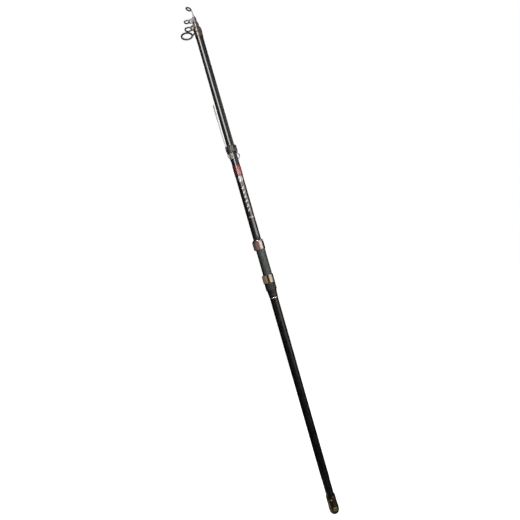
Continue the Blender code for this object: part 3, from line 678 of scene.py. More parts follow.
def skin(name: str, loops: Sequence[Loop], wrap: bool = False, capped: bool = False) -> Piece:
    """Cover a row of closed loops with faces.

    Args:
        name: the piece's name.
        loops: loops with the same number of points; a loop of one point is a pole.
        wrap: whether the last loop joins the first, as in a tube with a wall.
        capped: whether the first and last loops are filled.

    Returns:
        The piece, smooth but for its sharp edges.
    """
    build = bmesh.new()
    rows = [[build.verts.new(point) for point in loop] for loop in loops]
    pairs = list(zip(rows, rows[1:]))
    if wrap:
        pairs.append((rows[-1], rows[0]))
    for low, high in pairs:
        count = max(len(low), len(high))
        for i in range(count):
            j = (i + 1) % count
            corners = [low[i % len(low)], low[j % len(low)], high[j % len(high)],
                       high[i % len(high)]]
            build.faces.new([corner for k, corner in enumerate(corners)
                             if corner is not corners[k - 1]])
    if capped:
        build.faces.new(rows[0])
        build.faces.new(rows[-1])
    bmesh.ops.recalc_face_normals(build, faces=build.faces)
    mesh = bpy.data.meshes.new(name)
    build.to_mesh(mesh)
    build.free()
    soften(mesh)
    return add_object(name, mesh)


def circle(radius: float | Radius, height: float, sides: int) -> Loop:
    """Make a loop about the axis.

    Args:
        radius: its radius, or what gives the radius for an angle and a height; 0 gives a pole.
        height: its height.
        sides: how many points it has.

    Returns:
        The loop.
    """
    if radius == 0:
        return [Vector((0, 0, height))]
    angles = [2 * math.pi * i / sides for i in range(sides)]
    return [polar(radius(angle, height) if callable(radius) else radius, angle, height)
            for angle in angles]


def lathe(name: str, outline: Outline, closed: bool = True, sides: int = ROUND,
          matrix: Matrix | None = None) -> Piece:
    """Turn an outline about the axis.

    Args:
        name: the piece's name.
        outline: (radius, height) corners; an open one starts and ends on the axis.
        closed: whether the outline is a ring's section.
        sides: segments about the axis.
        matrix: where the turned piece goes, or None where it already lies right.

    Returns:
        The turned piece, with its object at the origin.
    """
    piece = skin(name, [circle(radius, height, sides) for radius, height in outline], wrap=closed)
    if matrix is not None:
        piece.data.transform(matrix)
    return piece


def tube(name: str, outer: Outline, inner: Outline | float, rounding: float) -> Piece:
    """Make a tube with rounded rims.

    Args:
        name: the piece's name.
        outer: its outer line, upwards.
        inner: its bore's line, upwards, or a plain bore's radius.
        rounding: how far from a corner its rounding starts.

    Returns:
        The tube.
    """
    if isinstance(inner, float):
        inner = [(inner, outer[0][1]), (inner, outer[-1][1])]
    return lathe(name, fillet(outer + inner[::-1], rounding))


def over_blank(name: str, low: float, profile: Outline, rounding: float) -> Piece:
    """Return a ring that slips over the butt, from its radii at heights above its lower end."""
    return tube(name, [(radius, low + rise) for radius, rise in profile], OVER_BLANK, rounding)


def plug(name: str, radius: float, low: float, high: float, sides: int = ROUND,
         matrix: Matrix | None = None, rounding: float = 0.0) -> Piece:
    """Make a round bar along the axis, for a pin or to cut a bore.

    Args:
        name: its name.
        radius: its radius.
        low: its lower end.
        high: its upper end.
        sides: segments about the axis.
        matrix: where it goes, or None where it already lies right.
        rounding: how far from its rims their rounding starts.

    Returns:
        The bar.
    """
    outline: Outline = [(0.0, low), (radius, low), (radius, high), (0.0, high)]
    if rounding:
        outline = fillet(outline, rounding, closed=False)
    return lathe(name, outline, closed=False, sides=sides, matrix=matrix)


def sweep(name: str, path: Sequence[Vector], side: Sequence[float],
          section: Callable[[float], Outline]) -> Piece:
    """Run a section along a path.

    Args:
        name: the piece's name.
        path: the points that the section's middle follows.
        side: the direction of the section's first axis, square to the path.
        section: gives the section's closed outline for a share of the path from 0 to 1.

    Returns:
        The swept piece with closed ends.
    """
    loops = []
    last = len(path) - 1
    first_axis = Vector(side)
    for i, point in enumerate(path):
        along = (path[min(i + 1, last)] - path[max(i - 1, 0)]).normalized()
        across = (first_axis - along * first_axis.dot(along)).normalized()
        up = along.cross(across)
        loops.append([point + across * a + up * b for a, b in section(i / last)])
    return skin(name, loops, capped=True)


def block(name: str, low: Sequence[float], high: Sequence[float], rounding: float, axis: int = 2
          ) -> Piece:
    """Make a block with every edge rounded.

    Args:
        name: the piece's name.
        low: its lowest corner.
        high: its highest corner.
        rounding: how far from an edge its rounding starts.
        axis: the axis along which its layers are stacked.

    Returns:
        The block.
    """
    low, size = Vector(low), Vector(high) - Vector(low)
    first, second = (i for i in range(3) if i != axis)
    loops = []
    layers = [(0.0, rounding), (rounding * 0.3, rounding * 0.3), (rounding, 0.0)]
    layers += [(size[axis] - rise, shrink) for rise, shrink in reversed(layers)]
    for rise, shrink in layers:
        outline = fillet([(x * (size[first] - 2 * shrink), y * (size[second] - 2 * shrink))
                          for x, y in ((-0.5, -0.5), (0.5, -0.5), (0.5, 0.5), (-0.5, 0.5))],
                         rounding)
        loop = []
        for x, y in outline:
            point = Vector()
            point[first] = low[first] + size[first] / 2 + x
            point[second] = low[second] + size[second] / 2 + y
            point[axis] = low[axis] + rise
            loop.append(point)
        loops.append(loop)
    return skin(name, loops, capped=True)


def settle(piece: Piece) -> None:
    """Turn a piece's modifiers into its mesh.

    Args:
        piece: the piece.
    """
    bpy.context.view_layer.update()
    depsgraph = bpy.context.evaluated_depsgraph_get()
    mesh = bpy.data.meshes.new_from_object(piece.evaluated_get(depsgraph))
    piece.modifiers.clear()
    piece.data = mesh


def combine(piece: Piece, tools: Sequence[Piece], operation: str = "DIFFERENCE") -> Piece:
    """Cut solids away from a piece, or join them to it.

    Args:
        piece: the piece that is changed.
        tools: closed solids, deleted afterwards.
        operation: "UNION" or "DIFFERENCE".

    Returns:
        The changed piece.
    """
    for tool in tools:
        modifier = piece.modifiers.new(tool.name, "BOOLEAN")
        modifier.operation = operation
        modifier.solver = "EXACT"
        modifier.object = tool
    settle(piece)
    soften(piece.data)
    for tool in tools:
        bpy.data.objects.remove(tool)
    return piece


def hand_in(piece: Piece, body: Body, slot: Slot, look: Look, *nodes: str) -> None:
    """Dress a piece, put it on its body and hide the CAD nodes that it replaces.

    Its large faces rule its normals, so that a long wall beside a small rounding stays true.

    Args:
        piece: the finished piece.
        body: the body that it rides on.
        slot: the record's material slot that its finish belongs to; not used.
        look: its finish.
        nodes: the CAD nodes that it replaces.
    """
    modifier = piece.modifiers.new("normals", "WEIGHTED_NORMAL")
    modifier.keep_sharp = True
    modifier.weight = 80
    settle(piece)
    piece.data.materials.clear()
    piece.data.materials.append(look.value.material())
    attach(piece, body.value)
    if nodes:
        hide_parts(*nodes)
    LOG.info("%s rides on %s", piece.name, body.value)


def threaded(radius: float, cut: float, pitch: float, low: float, high: float, fade: float
             ) -> Radius:
    """Cut a right-hand thread in a wall.

    Args:
        radius: the plain wall's radius.
        cut: how far its groove goes outwards, or inwards where it is below 0.
        pitch: its pitch.
        low: where it starts.
        high: where it ends.
        fade: the length over which it runs out at both ends.

    Returns:
        What gives the wall's radius for an angle and a height.
    """
    def wall(angle: float, height: float) -> float:
        """Work out the wall's radius.

        Args:
            angle: the angle about the axis.
            height: the height on it.

        Returns:
            The radius.
        """
        groove = 0.5 - 0.5 * math.cos(2 * math.pi * (height / pitch) - angle)
        run = min((height - low) / fade, (high - height) / fade, 1.0)
        return radius + cut * (groove ** 1.3 * max(run, 0.0))

    return wall


@dataclass
class ButtEnd:
    """The screw cap, its rubber pad and the threaded ferrule on the blank's lower end."""

    cap_top: float = 0.047
    cap_floor: float = 0.009
    cap_bore: float = 0.01155
    cap_radius: float = 0.01225
    belly: float = 0.01315
    bead: float = 0.0135
    groove: float = 0.0004
    skirt: float = 0.018
    facet: float = 0.0189
    skirt_end: float = 0.0464
    dish: float = 0.0003
    end_radius: float = 0.0065
    pitch: float = 0.0015
    ferrule_radius: float = 0.01125
    ferrule_length: float = 0.030
    plug_radius: float = 0.0082

    def cap(self) -> Piece:
        """Turn the cap: a dished end, a bellied wall, two fine grooves and a threaded bore.

        Returns:
            The cap.
        """
        outline: Outline = [(0.0, self.dish), (self.end_radius * 0.6, self.dish),
                            (self.end_radius * 0.68, 0.0)]
        for share in shares(14):
            angle = math.pi / 2 * (1 - share)
            outline.append((self.end_radius + (self.belly - self.end_radius) * math.cos(angle),
                            (self.bead - 0.0006) * (1 - math.sin(angle))))
        pinch = self.belly - self.groove * 0.9
        outline += [(pinch, self.bead - self.groove * 0.3), (pinch, self.bead + self.groove * 0.3),
                    (self.belly, self.bead + self.groove), (self.belly, self.skirt),
                    (self.belly - 0.0006, self.facet)]
        for height in (0.0405, 0.0425):
            share = (height - self.skirt) / (self.skirt_end - self.skirt)
            wall = self.belly + (self.cap_radius - self.belly) * share
            outline += [(wall, height - 0.0003), (wall - 0.00018, height - 0.0001),
                        (wall - 0.00018, height + 0.0001), (wall, height + 0.0003)]
        outline += [(self.cap_radius, self.cap_top - 0.0008),
                    (self.cap_radius - 0.0005, self.cap_top),
                    (self.cap_bore + 0.0002, self.cap_top)]
        low, high = self.cap_floor + 0.004, self.cap_top - 0.001
        bore = threaded(self.cap_bore, 0.00028, self.pitch, low, high, 0.002)
        outline += [(bore, height) for height in levels(low, high, 0.00025)[::-1]]
        outline += [(self.cap_bore, self.cap_floor), (0, self.cap_floor)]
        return lathe("butt_cap_turned", outline, closed=False)

    def ferrule(self) -> Piece:
        """Turn the ferrule with its outside thread.

        Returns:
            The ferrule.
        """
        start, top = BLANK_START, BLANK_START + self.ferrule_length
        low, high = start + 0.001, top - 0.0015
        radius = self.ferrule_radius
        wall = threaded(radius, -0.00033, self.pitch, low, high, 0.0015)
        outline: Outline = [(OVER_BLANK, start), (radius - 0.0003, start),
                            (radius - 0.00005, start + 0.0003)]
        outline += [(wall, height) for height in levels(low, high, 0.00025)]
        outline += [(radius, top - 0.0002), (radius - 0.0002, top), (OVER_BLANK, top)]
        return lathe("butt_ferrule_threaded", outline)

    def pad(self) -> Piece:
        """Mould the rubber pad: a flange and a ribbed plug with a hollow top.

        Returns:
            The pad.
        """
        low = self.cap_floor + FIT
        flange = low + 0.003
        top = flange + FIT + 0.008
        radius = self.plug_radius
        outline: Outline = [(0.0, low), (self.ferrule_radius, low), (self.ferrule_radius, flange),
                            (radius, flange)]
        for height in (0.0018, 0.0040, 0.0062):
            outline += [(radius, flange + height - 0.0005), (radius - 0.0003, flange + height),
                        (radius, flange + height + 0.0005)]
        outline += [(radius, top - 0.0008), (radius - 0.0008, top), (0.005, top),
                    (0.0045, top - 0.003), (0.0, top - 0.003)]
        return lathe("shock_pad_moulded", fillet(outline, 0.0003, closed=False), closed=False)

    def build(self) -> None:
        """Make and dress the butt end."""
        hand_in(self.cap(), Body.CAP, Slot.GUNMETAL, Look.GUNMETAL, "butt_cap")
        hand_in(self.ferrule(), Body.BUTT, Slot.STEEL, Look.STEEL, "butt_ferrule")
        hand_in(self.pad(), Body.CAP_CARRIER, Slot.RUBBER, Look.RUBBER, "shock_pad")


@dataclass
class Blank:
    """A tapered tube of the rod."""

    piece: str
    node: str
    body: Body
    look: Look
    start: float
    knee: float
    throat: float
    top: float
    outer: tuple[float, float, float]
    bore: tuple[float, float, float]
    rounding: float = 0.00012

    def build(self) -> None:
        """Make and dress the tube; it tapers on from its knee, and its bore from its throat."""
        outer = list(zip(self.outer, (self.start, self.knee, self.top)))
        bore = list(zip(self.bore, (self.start, self.throat, self.top)))
        hand_in(tube(self.piece, outer, bore, self.rounding), self.body, Slot.BLANK, self.look,
                self.node)


@dataclass
class Ring:
    """A plain ring that slips over the butt, by its radii at heights above its lower end."""

    piece: str
    node: str
    slot: Slot
    look: Look
    start: float
    rounding: float
    profile: Outline

    def build(self) -> None:
        """Make and dress the ring."""
        hand_in(over_blank(self.piece, self.start, self.profile, self.rounding), Body.BUTT,
                self.slot, self.look, self.node)


@dataclass
class ReelSeat:
    """The pipe seat: its threaded body, the fixed and the sliding hood, and the lock nut."""

    start: float = 0.6074
    length: float = 0.1315
    radius: float = 0.0130
    foot_face: float = 0.0113
    pocket_drop: float = 0.0002
    thread_top: float = 0.0425
    pitch: float = 0.0032
    thread_cut: float = 0.00045
    hood_start: float = 0.6267
    hood_height: float = 0.022
    hood_bore: float = 0.0133
    hood_radius: float = 0.0146
    cover_wall: float = 0.00045
    cover_inset: float = 0.0008
    shoulder: float = 0.0040
    shoulder_y: float = 0.0045
    roof: float = 0.01535
    pocket_depth: float = 0.0142
    pocket_width: float = 0.0146
    nut_height: float = 0.019
    nut_radius: float = 0.0144
    nut_rib: float = 0.00052
    nut_ribs: int = 24
    nut_plain: float = 0.0022

    @property
    def top(self) -> float:
        """Return where the seat's body ends."""
        return self.start + self.length

    def body(self) -> Piece:
        """Mould the seat's body: a flat for the reel's foot and a coarse thread below it.

        Returns:
            The body.
        """
        thread_high = self.start + self.thread_top
        step_low = self.hood_start + self.hood_height + 2 * FIT
        step_high = self.top - self.hood_height - 2 * FIT
        round_wall = threaded(self.radius, -self.thread_cut, self.pitch, self.start, thread_high,
                              0.002)

        def wall(angle: float, height: float, shrink: float = 0.0) -> float:
            """Work out the body's radius.

            Args:
                angle: the angle about the axis.
                height: the height on it.
                shrink: how far its rounded ends draw it in.

            Returns:
                The radius.
            """
            reach = round_wall(angle, height)
            drop = 0.0 if step_low <= height <= step_high else self.pocket_drop
            back = -math.cos(angle)
            return (min(reach, (self.foot_face - drop) / back) if back > 0.1 else reach) - shrink

        heights = levels(self.start + 0.0005, thread_high, 0.0004)
        heights += [step_low - 0.0002, step_low + 0.0002]
        heights += levels(step_low + 0.005, step_high - 0.005, 0.02)
        heights += [step_high - 0.0002, step_high + 0.0002, self.top - 0.0005]
        rim = [(OVER_BLANK, 0.0), (partial(wall, shrink=0.0005), 0.0),
               (partial(wall, shrink=0.00015), 0.00015)]
        outline = [(reach, self.start + rise) for reach, rise in rim]
        outline += [(wall, height) for height in heights]
        outline += [(reach, self.top - rise) for reach, rise in reversed(rim)]
        return lathe("reel_seat_body", outline, sides=120)

    def hood_loop(self, shrink: float, height: float) -> Loop:
        """Draw a hood's outline: the band round a big disc and two small shoulder discs.

        Args:
            shrink: how far the outline is drawn in all round.
            height: its height.

        Returns:
            The closed loop.
        """
        small = self.shoulder - shrink
        x = -(self.roof + self.cover_wall - self.shoulder)
        discs = [((0.0, 0.0), self.hood_radius - shrink), ((x, self.shoulder_y), small),
                 ((x, -self.shoulder_y), small)]
        loop = []
        for i in range(FINE_ROUND):
            angle = 2 * math.pi * i / FINE_ROUND
            c, s = math.cos(angle), math.sin(angle)
            centre, radius = max(discs, key=lambda disc: disc[0][0] * c + disc[0][1] * s + disc[1])
            loop.append(Vector((centre[0] + radius * c, centre[1] + radius * s, height)))
        return loop

    def hood_core(self, name: str, start: float, mouth_up: bool) -> Piece:
        """Make a hood's moulded core, rebated for its cover and cut for the reel's foot.

        Args:
            name: the piece's name.
            start: its lower end.
            mouth_up: whether the reel's foot goes in from above.

        Returns:
            The core.
        """
        top = start + self.hood_height
        lip, ease = 0.00025, 0.0003
        steps = [(0.0, lip + ease), (ease, lip), (self.cover_inset - 0.0001, lip),
                 (self.cover_inset, self.cover_wall + FIT)]
        loops = [self.hood_loop(shrink, start + rise) for rise, shrink in steps]
        loops += [self.hood_loop(shrink, top - rise) for rise, shrink in reversed(steps)]
        loops += [circle(radius, height, FINE_ROUND) for radius, height in (
            (self.hood_bore + ease, top), (self.hood_bore, top - ease),
            (self.hood_bore, start + ease), (self.hood_bore + ease, start))]
        core = skin(name, loops, wrap=True)
        low = top - self.pocket_depth if mouth_up else start - 0.002
        high = top + 0.002 if mouth_up else start + self.pocket_depth
        half = self.pocket_width / 2
        return combine(core, [block("pocket", (-2 * self.hood_radius, -half, low),
                                    (-self.radius / 2, half, high), 0.0012, axis=0)])

    def hood_cover(self, name: str, start: float) -> Piece:
        """Draw a hood's steel cover, its rims turned in a little.

        Args:
            name: the piece's name.
            start: the hood's lower end.

        Returns:
            The cover.
        """
        low, high = start + self.cover_inset, start + self.hood_height - self.cover_inset
        section = fillet([(0.0, low), (0.0, high), (self.cover_wall, high),
                          (self.cover_wall, low)], 0.0002)
        return skin(name, [self.hood_loop(shrink, height) for shrink, height in section],
                    wrap=True)

    def nut(self) -> Piece:
        """Mould the lock nut: soft flutes that fade towards both plain rims.

        Returns:
            The nut.
        """
        low, high = self.start + self.nut_plain, self.start + self.nut_height - self.nut_plain

        def wall(angle: float, height: float) -> float:
            """Work out the nut's radius, with its flutes.

            Args:
                angle: the angle about the axis.
                height: the height on it.

            Returns:
                The radius.
            """
            run = min((height - low) / 0.0015, (high - height) / 0.0015, 1.0)
            flute = (0.5 + 0.5 * math.cos(self.nut_ribs * angle)) ** 2
            return self.nut_radius - self.nut_rib * flute * max(run, 0.0)

        rim = [(self.hood_bore + 0.0002, 0.0), (self.nut_radius - 0.0007, 0.0),
               (self.nut_radius - 0.0002, 0.0003), (self.nut_radius, 0.0009)]
        outline = [(radius, self.start + rise) for radius, rise in rim]
        for run_out in (levels(low, low + 0.0016, 0.0004), levels(high - 0.0016, high, 0.0004)):
            outline += [(wall, height) for height in run_out]
        outline += [(radius, self.start + self.nut_height - rise) for radius, rise in reversed(rim)]
        return lathe("lock_nut_fluted", outline, sides=self.nut_ribs * 8)

    def build(self) -> None:
        """Make and dress the reel seat."""
        hand_in(self.body(), Body.BUTT, Slot.SEAT_PLASTIC, Look.SEAT_NYLON, "seat_body")
        for hood, body, start in (("fixed_hood", Body.BUTT, self.top - self.hood_height),
                                  ("moving_hood", Body.HOOD, self.hood_start)):
            core = self.hood_core(hood + "_moulded", start, mouth_up=body is Body.HOOD)
            hand_in(core, body, Slot.DARK_PLASTIC, Look.NYLON, hood)
            hand_in(self.hood_cover(hood + "_cover_drawn", start), body, Slot.STEEL, Look.STEEL,
                    hood + "_cover")
        hand_in(self.nut(), Body.NUT, Slot.DARK_PLASTIC, Look.NYLON, "lock_nut")


@dataclass
class Windings:
    """The thread windings on the butt blank, and the plain silver marks below the red one."""

    red_start: float = 0.9199
    red_length: float = 0.0238
    trim: float = 0.0012
    mouth_start: float = 1.2962
    mouth_length: float = 0.0115
    foil_low: float = 0.00002
    foil_high: float = 0.00007

    def band(self, name: str, low: float, high: float, swell: float = 0.0) -> Piece:
        """Wind a band whose epoxy is rounded off.

        Args:
            name: the piece's name.
            low: its lower end.
            high: its upper end.
            swell: how much thicker its middle is.

        Returns:
            The band.
        """
        return over_blank(name, low, [
            (OVER_BLANK + 0.000225 + math.sin(math.pi * share) ** 0.5 * swell, (high - low) * share)
            for share in shares(8)], 0.0002)

    def mouth(self) -> Piece:
        """Wind the thread at the butt's mouth, which binds the first guide's foot.

        Returns:
            The winding.
        """
        low, high = self.mouth_start, self.mouth_start + self.mouth_length
        slope = (MOUTH_RADIUS - BUTT_RADIUS) / (BUTT_TOP - TAPER_START)
        wide, narrow = (BUTT_RADIUS + slope * (height - TAPER_START) + 0.00005
                        for height in (low, high))
        outer = [(wide + 0.0001, low), (wide + 0.0006, low + 0.0005),
                 (wide + 0.00074, low + 0.0012), (narrow + 0.00078, high - 0.0008),
                 (narrow + 0.0006, high)]
        return tube("butt_mouth_thread", outer, [(wide, low), (narrow, high)], 0.0005)

    def pinstripe(self, name: str, low: float, width: float) -> Piece:
        """Return a plain silver line round the blank."""
        inner, outer = BUTT_RADIUS + self.foil_low, BUTT_RADIUS + 0.00008
        return lathe(name, [(inner, low), (outer, low), (outer, low + width), (inner, low + width)])

    def dash(self, name: str, middle: float, length: float, front: float = -84.0,
             width: float = 0.20, slant: float = 0.35) -> Piece:
        """Make a short slanting bar of foil on the blank.

        Args:
            name: the piece's name.
            middle: the height of its middle.
            length: its length along the blank.
            front: where it lies round the blank, in degrees from +X.
            width: half its angle round the blank, in radians.
            slant: how far its ends lie apart round the blank, in radians.

        Returns:
            The bar, bent round the blank.
        """
        loops = []
        for rise in levels(-length / 2, length / 2, length / 8):
            turn = math.radians(front) + rise / length * slant
            half = width * (1 - (2 * rise / length) ** 6) + 0.01
            angles = (turn - half, turn, turn + half)
            loops.append([polar(BUTT_RADIUS + self.foil_low, angle, middle + rise)
                          for angle in angles]
                         + [polar(BUTT_RADIUS + self.foil_high, angle, middle + rise)
                            for angle in reversed(angles)])
        return skin(name, loops, capped=True)

    def marks(self) -> list[Piece]:
        """Lay plain silver pinstripes and short bars where the real rod has its marks.

        Returns:
            The pieces of foil.
        """
        pieces = [self.pinstripe("silver_pinstripe_1", 0.8060, 0.0007),
                  self.pinstripe("silver_pinstripe_2", 0.8030, 0.0016)]
        pieces += [self.dash(f"silver_bar_{i + 1}", 0.8240 + 0.0120 * i, 0.0072) for i in range(6)]
        emblem = ((0.9100, 0.0120, -108.0), (0.9080, 0.0165, -81.0), (0.9060, 0.0130, -54.0))
        return pieces + [self.dash(f"silver_emblem_bar_{i + 1}", *bar, width=0.19, slant=0.7)
                         for i, bar in enumerate(emblem)]

    def build(self) -> None:
        """Make and dress the windings and marks."""
        low, high = self.red_start, self.red_start + self.red_length
        hand_in(self.band("red_wrap_thread", low, high, 0.00005), Body.BUTT, Slot.RED, Look.RED,
                "red_wrap")
        for node, start in (("red_wrap_trim_low", low - FIT - self.trim),
                            ("red_wrap_trim_high", high + FIT)):
            hand_in(self.band(node + "_thread", start, start + self.trim), Body.BUTT, Slot.MAROON,
                    Look.MAROON, node)
        hand_in(self.mouth(), Body.BUTT, Slot.BROWN, Look.BROWN, "butt_mouth_winding")
        for mark in self.marks():
            hand_in(mark, Body.BUTT, Slot.STEEL, Look.FOIL)


@dataclass(frozen=True)
class Eye:
    """A ceramic ring in its holder, its outer edge leaned towards the tip."""

    reach: float
    height: float
    outer: float
    inner: float
    bore: float
    lean: float = math.radians(5)
    sides: int = 72
    holder_height: float = 0.0022
    ring_height: float = 0.0034

    @property
    def matrix(self) -> Matrix:
        """Return where the ring lies."""
        return (Matrix.Translation((-self.reach, 0, self.height))
                @ Matrix.Rotation(self.lean, 4, "Y"))

    @property
    def edge(self) -> Vector:
        """Return the middle of the holder's wall, on the rod's side."""
        return self.matrix @ Vector(((self.outer + self.inner) / 2, 0, 0))

    def holder(self, name: str) -> Piece:
        """Stamp the ring's holder.

        Args:
            name: the piece's name.

        Returns:
            The holder.
        """
        half = self.holder_height / 2
        section = fillet([(self.inner, -half), (self.outer, -half), (self.outer, half),
                          (self.inner, half)], 0.0004)
        return lathe(name, section, sides=self.sides, matrix=self.matrix)

    def cutter(self) -> Piece:
        """Return what clears the ring's place of its arm."""
        return plug("eye", self.inner, -0.01, 0.01, self.sides, self.matrix)

    def ring(self, name: str) -> Piece:
        """Make the ceramic ring, a little flattened where its holder grips it.

        Args:
            name: the piece's name.

        Returns:
            The ring.
        """
        outer = self.inner - 0.00005
        middle = (outer + self.bore) / 2
        section = [(middle + x, y) for x, y in oval(outer - self.bore, self.ring_height, 0.85)]
        return lathe(name, section, sides=64, matrix=self.matrix)


@dataclass
class LineGuide:
    """A guide on a section's mouth: sleeve, winding, strip or bridge, and ring."""

    number: int
    body: Body
    tube_radius: float
    top: float
    sleeve: float
    eye: Eye
    frame_look: Look = Look.SMOKED_STEEL
    holder_look: Look = Look.BLACK_STEEL
    bridge: bool = False
    sleeve_wall: float = 0.0005
    plate: float = 0.0012

    @property
    def bore(self) -> float:
        """Return the sleeve's bore."""
        return self.tube_radius + FIT

    @property
    def outside(self) -> float:
        """Return the sleeve's outer radius."""
        return self.bore + self.sleeve_wall

    def sleeve_piece(self) -> Piece:
        """Draw the sleeve that slips over the section's mouth.

        Returns:
            The sleeve.
        """
        outer = [(self.outside + 0.0002, self.top - self.sleeve),
                 (self.outside, self.top - 0.0026), (self.outside, self.top - 0.0008),
                 (self.outside - 0.0002, self.top)]
        return tube(f"guide_{self.number}_frame_stamped", outer, self.bore, 0.0002)

    def strip(self) -> Piece:
        """Bend the strip that runs round the ring and widens into a plate on both sides.

        Returns:
            The strip.
        """
        thick = self.eye.outer - self.eye.inner
        middle = self.eye.outer - thick / 2
        root = self.sleeve - 0.0035
        foot = Vector((-self.outside / 4, self.outside - self.plate, self.top - 0.0025 - root / 2))
        meet = math.radians(50)
        ring = [self.eye.matrix @ polar(middle, meet + 2 * (math.pi - meet) * share, 0)
                for share in shares(48)]
        plate = [foot.lerp(ring[0], share) for share in shares(12)[:-1]]
        path = plate + ring + mirrored(plate)
        plate_share = len(plate) / (len(path) - 1)

        def section(share: float) -> Outline:
            """Make the strip's section, which grows tall towards the sleeve.

            Args:
                share: the place along the strip, from 0 to 1.

            Returns:
                The section.
            """
            near = max(1 - min(share, 1 - share) / plate_share, 0.0)
            low = self.eye.holder_height
            return oval(low + (root - low) * near ** 0.9, thick * 1.25, 0.42)

        return sweep("strip", path, (0, 0, 1), section)

    def bridge_piece(self) -> Piece:
        """Form the short stout arm between the ring and the tube.

        Returns:
            The arm.
        """
        end = Vector((-self.tube_radius - 0.0002, 0, self.top - self.sleeve + 0.0019))
        path = [self.eye.edge.lerp(end, share) for share in shares(8)]

        def section(share: float) -> Outline:
            """Return the arm's section, waisted between its ends."""
            return oval(0.0052 * (0.8 + 0.2 * abs(2 * share - 1) ** 2), 0.0026, 0.5)

        return sweep("bridge", path, (0, 1, 0), section)

    def winding(self) -> Piece:
        """Wind the thread over the sleeve, from its foot to just under its rim.

        Returns:
            The winding.
        """
        outside = self.outside + 0.00005
        low, high = self.top - self.sleeve + 0.0006, self.top - 0.0022
        outer = [(outside + 0.00025, low), (outside + 0.00042, low + 0.0006),
                 (outside + 0.0004, high - 0.0007), (outside + 0.00005, high)]
        return tube(f"guide_{self.number}_winding", outer, outside - 0.0001, 0.0005)

    def build(self) -> None:
        """Make and dress the guide."""
        guide = f"guide_{self.number}"
        frame_piece = self.sleeve_piece()
        holder = self.eye.holder(guide + "_holder")
        combine(frame_piece, [self.bridge_piece() if self.bridge else self.strip()], "UNION")
        middle = Matrix.Translation((0, 0, self.top - self.sleeve / 2))
        combine(frame_piece, [plug("bore", self.bore, -0.03, 0.03, matrix=middle),
                              self.eye.cutter()])
        hand_in(frame_piece, self.body, Slot.SMOKED, self.frame_look, guide + "_frame")
        hand_in(holder, self.body, Slot.SMOKED, self.holder_look)
        hand_in(self.eye.ring(guide + "_ring_tumbled"), self.body, Slot.RING, Look.CERAMIC,
                guide + "_ring")
        hand_in(self.winding(), self.body, Slot.BROWN, Look.BROWN)


@dataclass
class TipTop:
    """The tip-top: a tube on the tip's end, a bent stem and a leaned ring."""

    base: float = 1.3519
    top: float = 1.3584
    bore: float = 0.0016
    wall: float = 0.0004
    stem: float = 0.0013
    eye: Eye = Eye(0.0076, SECTION_3_TOP + 0.0243, 0.0078, 0.0069, 0.0044, math.radians(27), 64)

    def socket(self) -> Piece:
        """Draw the tube that slips over the tip, closed at its top.

        Returns:
            The tube.
        """
        outer = self.bore + self.wall
        outline = [(0.0, TIP_END + 0.0001), (self.bore, TIP_END + 0.0001), (self.bore, self.base),
                   (outer, self.base), (outer, self.top - 0.0012), (self.stem, self.top),
                   (0.0, self.top)]
        return lathe("tip_top_frame_bent", fillet(outline, 0.0002, closed=False), closed=False,
                     sides=48)

    def neck(self) -> Piece:
        """Bend the stem from the tube to the ring.

        Returns:
            The stem.
        """
        edge = self.eye.edge
        bend = Vector((0, 0, self.top + 0.0005))
        path = [Vector((0, 0, self.top - self.stem))]
        path += curve(Vector((0, 0, self.top - 0.0006)), bend, bend.lerp(edge, 0.25), 10)
        return sweep("neck", path + [edge], (0, 1, 0),
                     lambda share: oval(2 * self.stem, 2 * self.stem))

    def build(self) -> None:
        """Make and dress the tip-top."""
        frame_piece = combine(self.socket(), [self.neck()], "UNION")
        combine(frame_piece, [self.eye.cutter()])
        hand_in(frame_piece, Body.TIP, Slot.SMOKED, Look.SMOKED_STEEL, "tip_top_frame")
        hand_in(self.eye.holder("tip_top_holder"), Body.TIP, Slot.SMOKED, Look.MAROON_STEEL)
        hand_in(self.eye.ring("tip_top_ring_tumbled"), Body.TIP, Slot.RING, Look.MAROON_CERAMIC,
                "tip_top_ring")


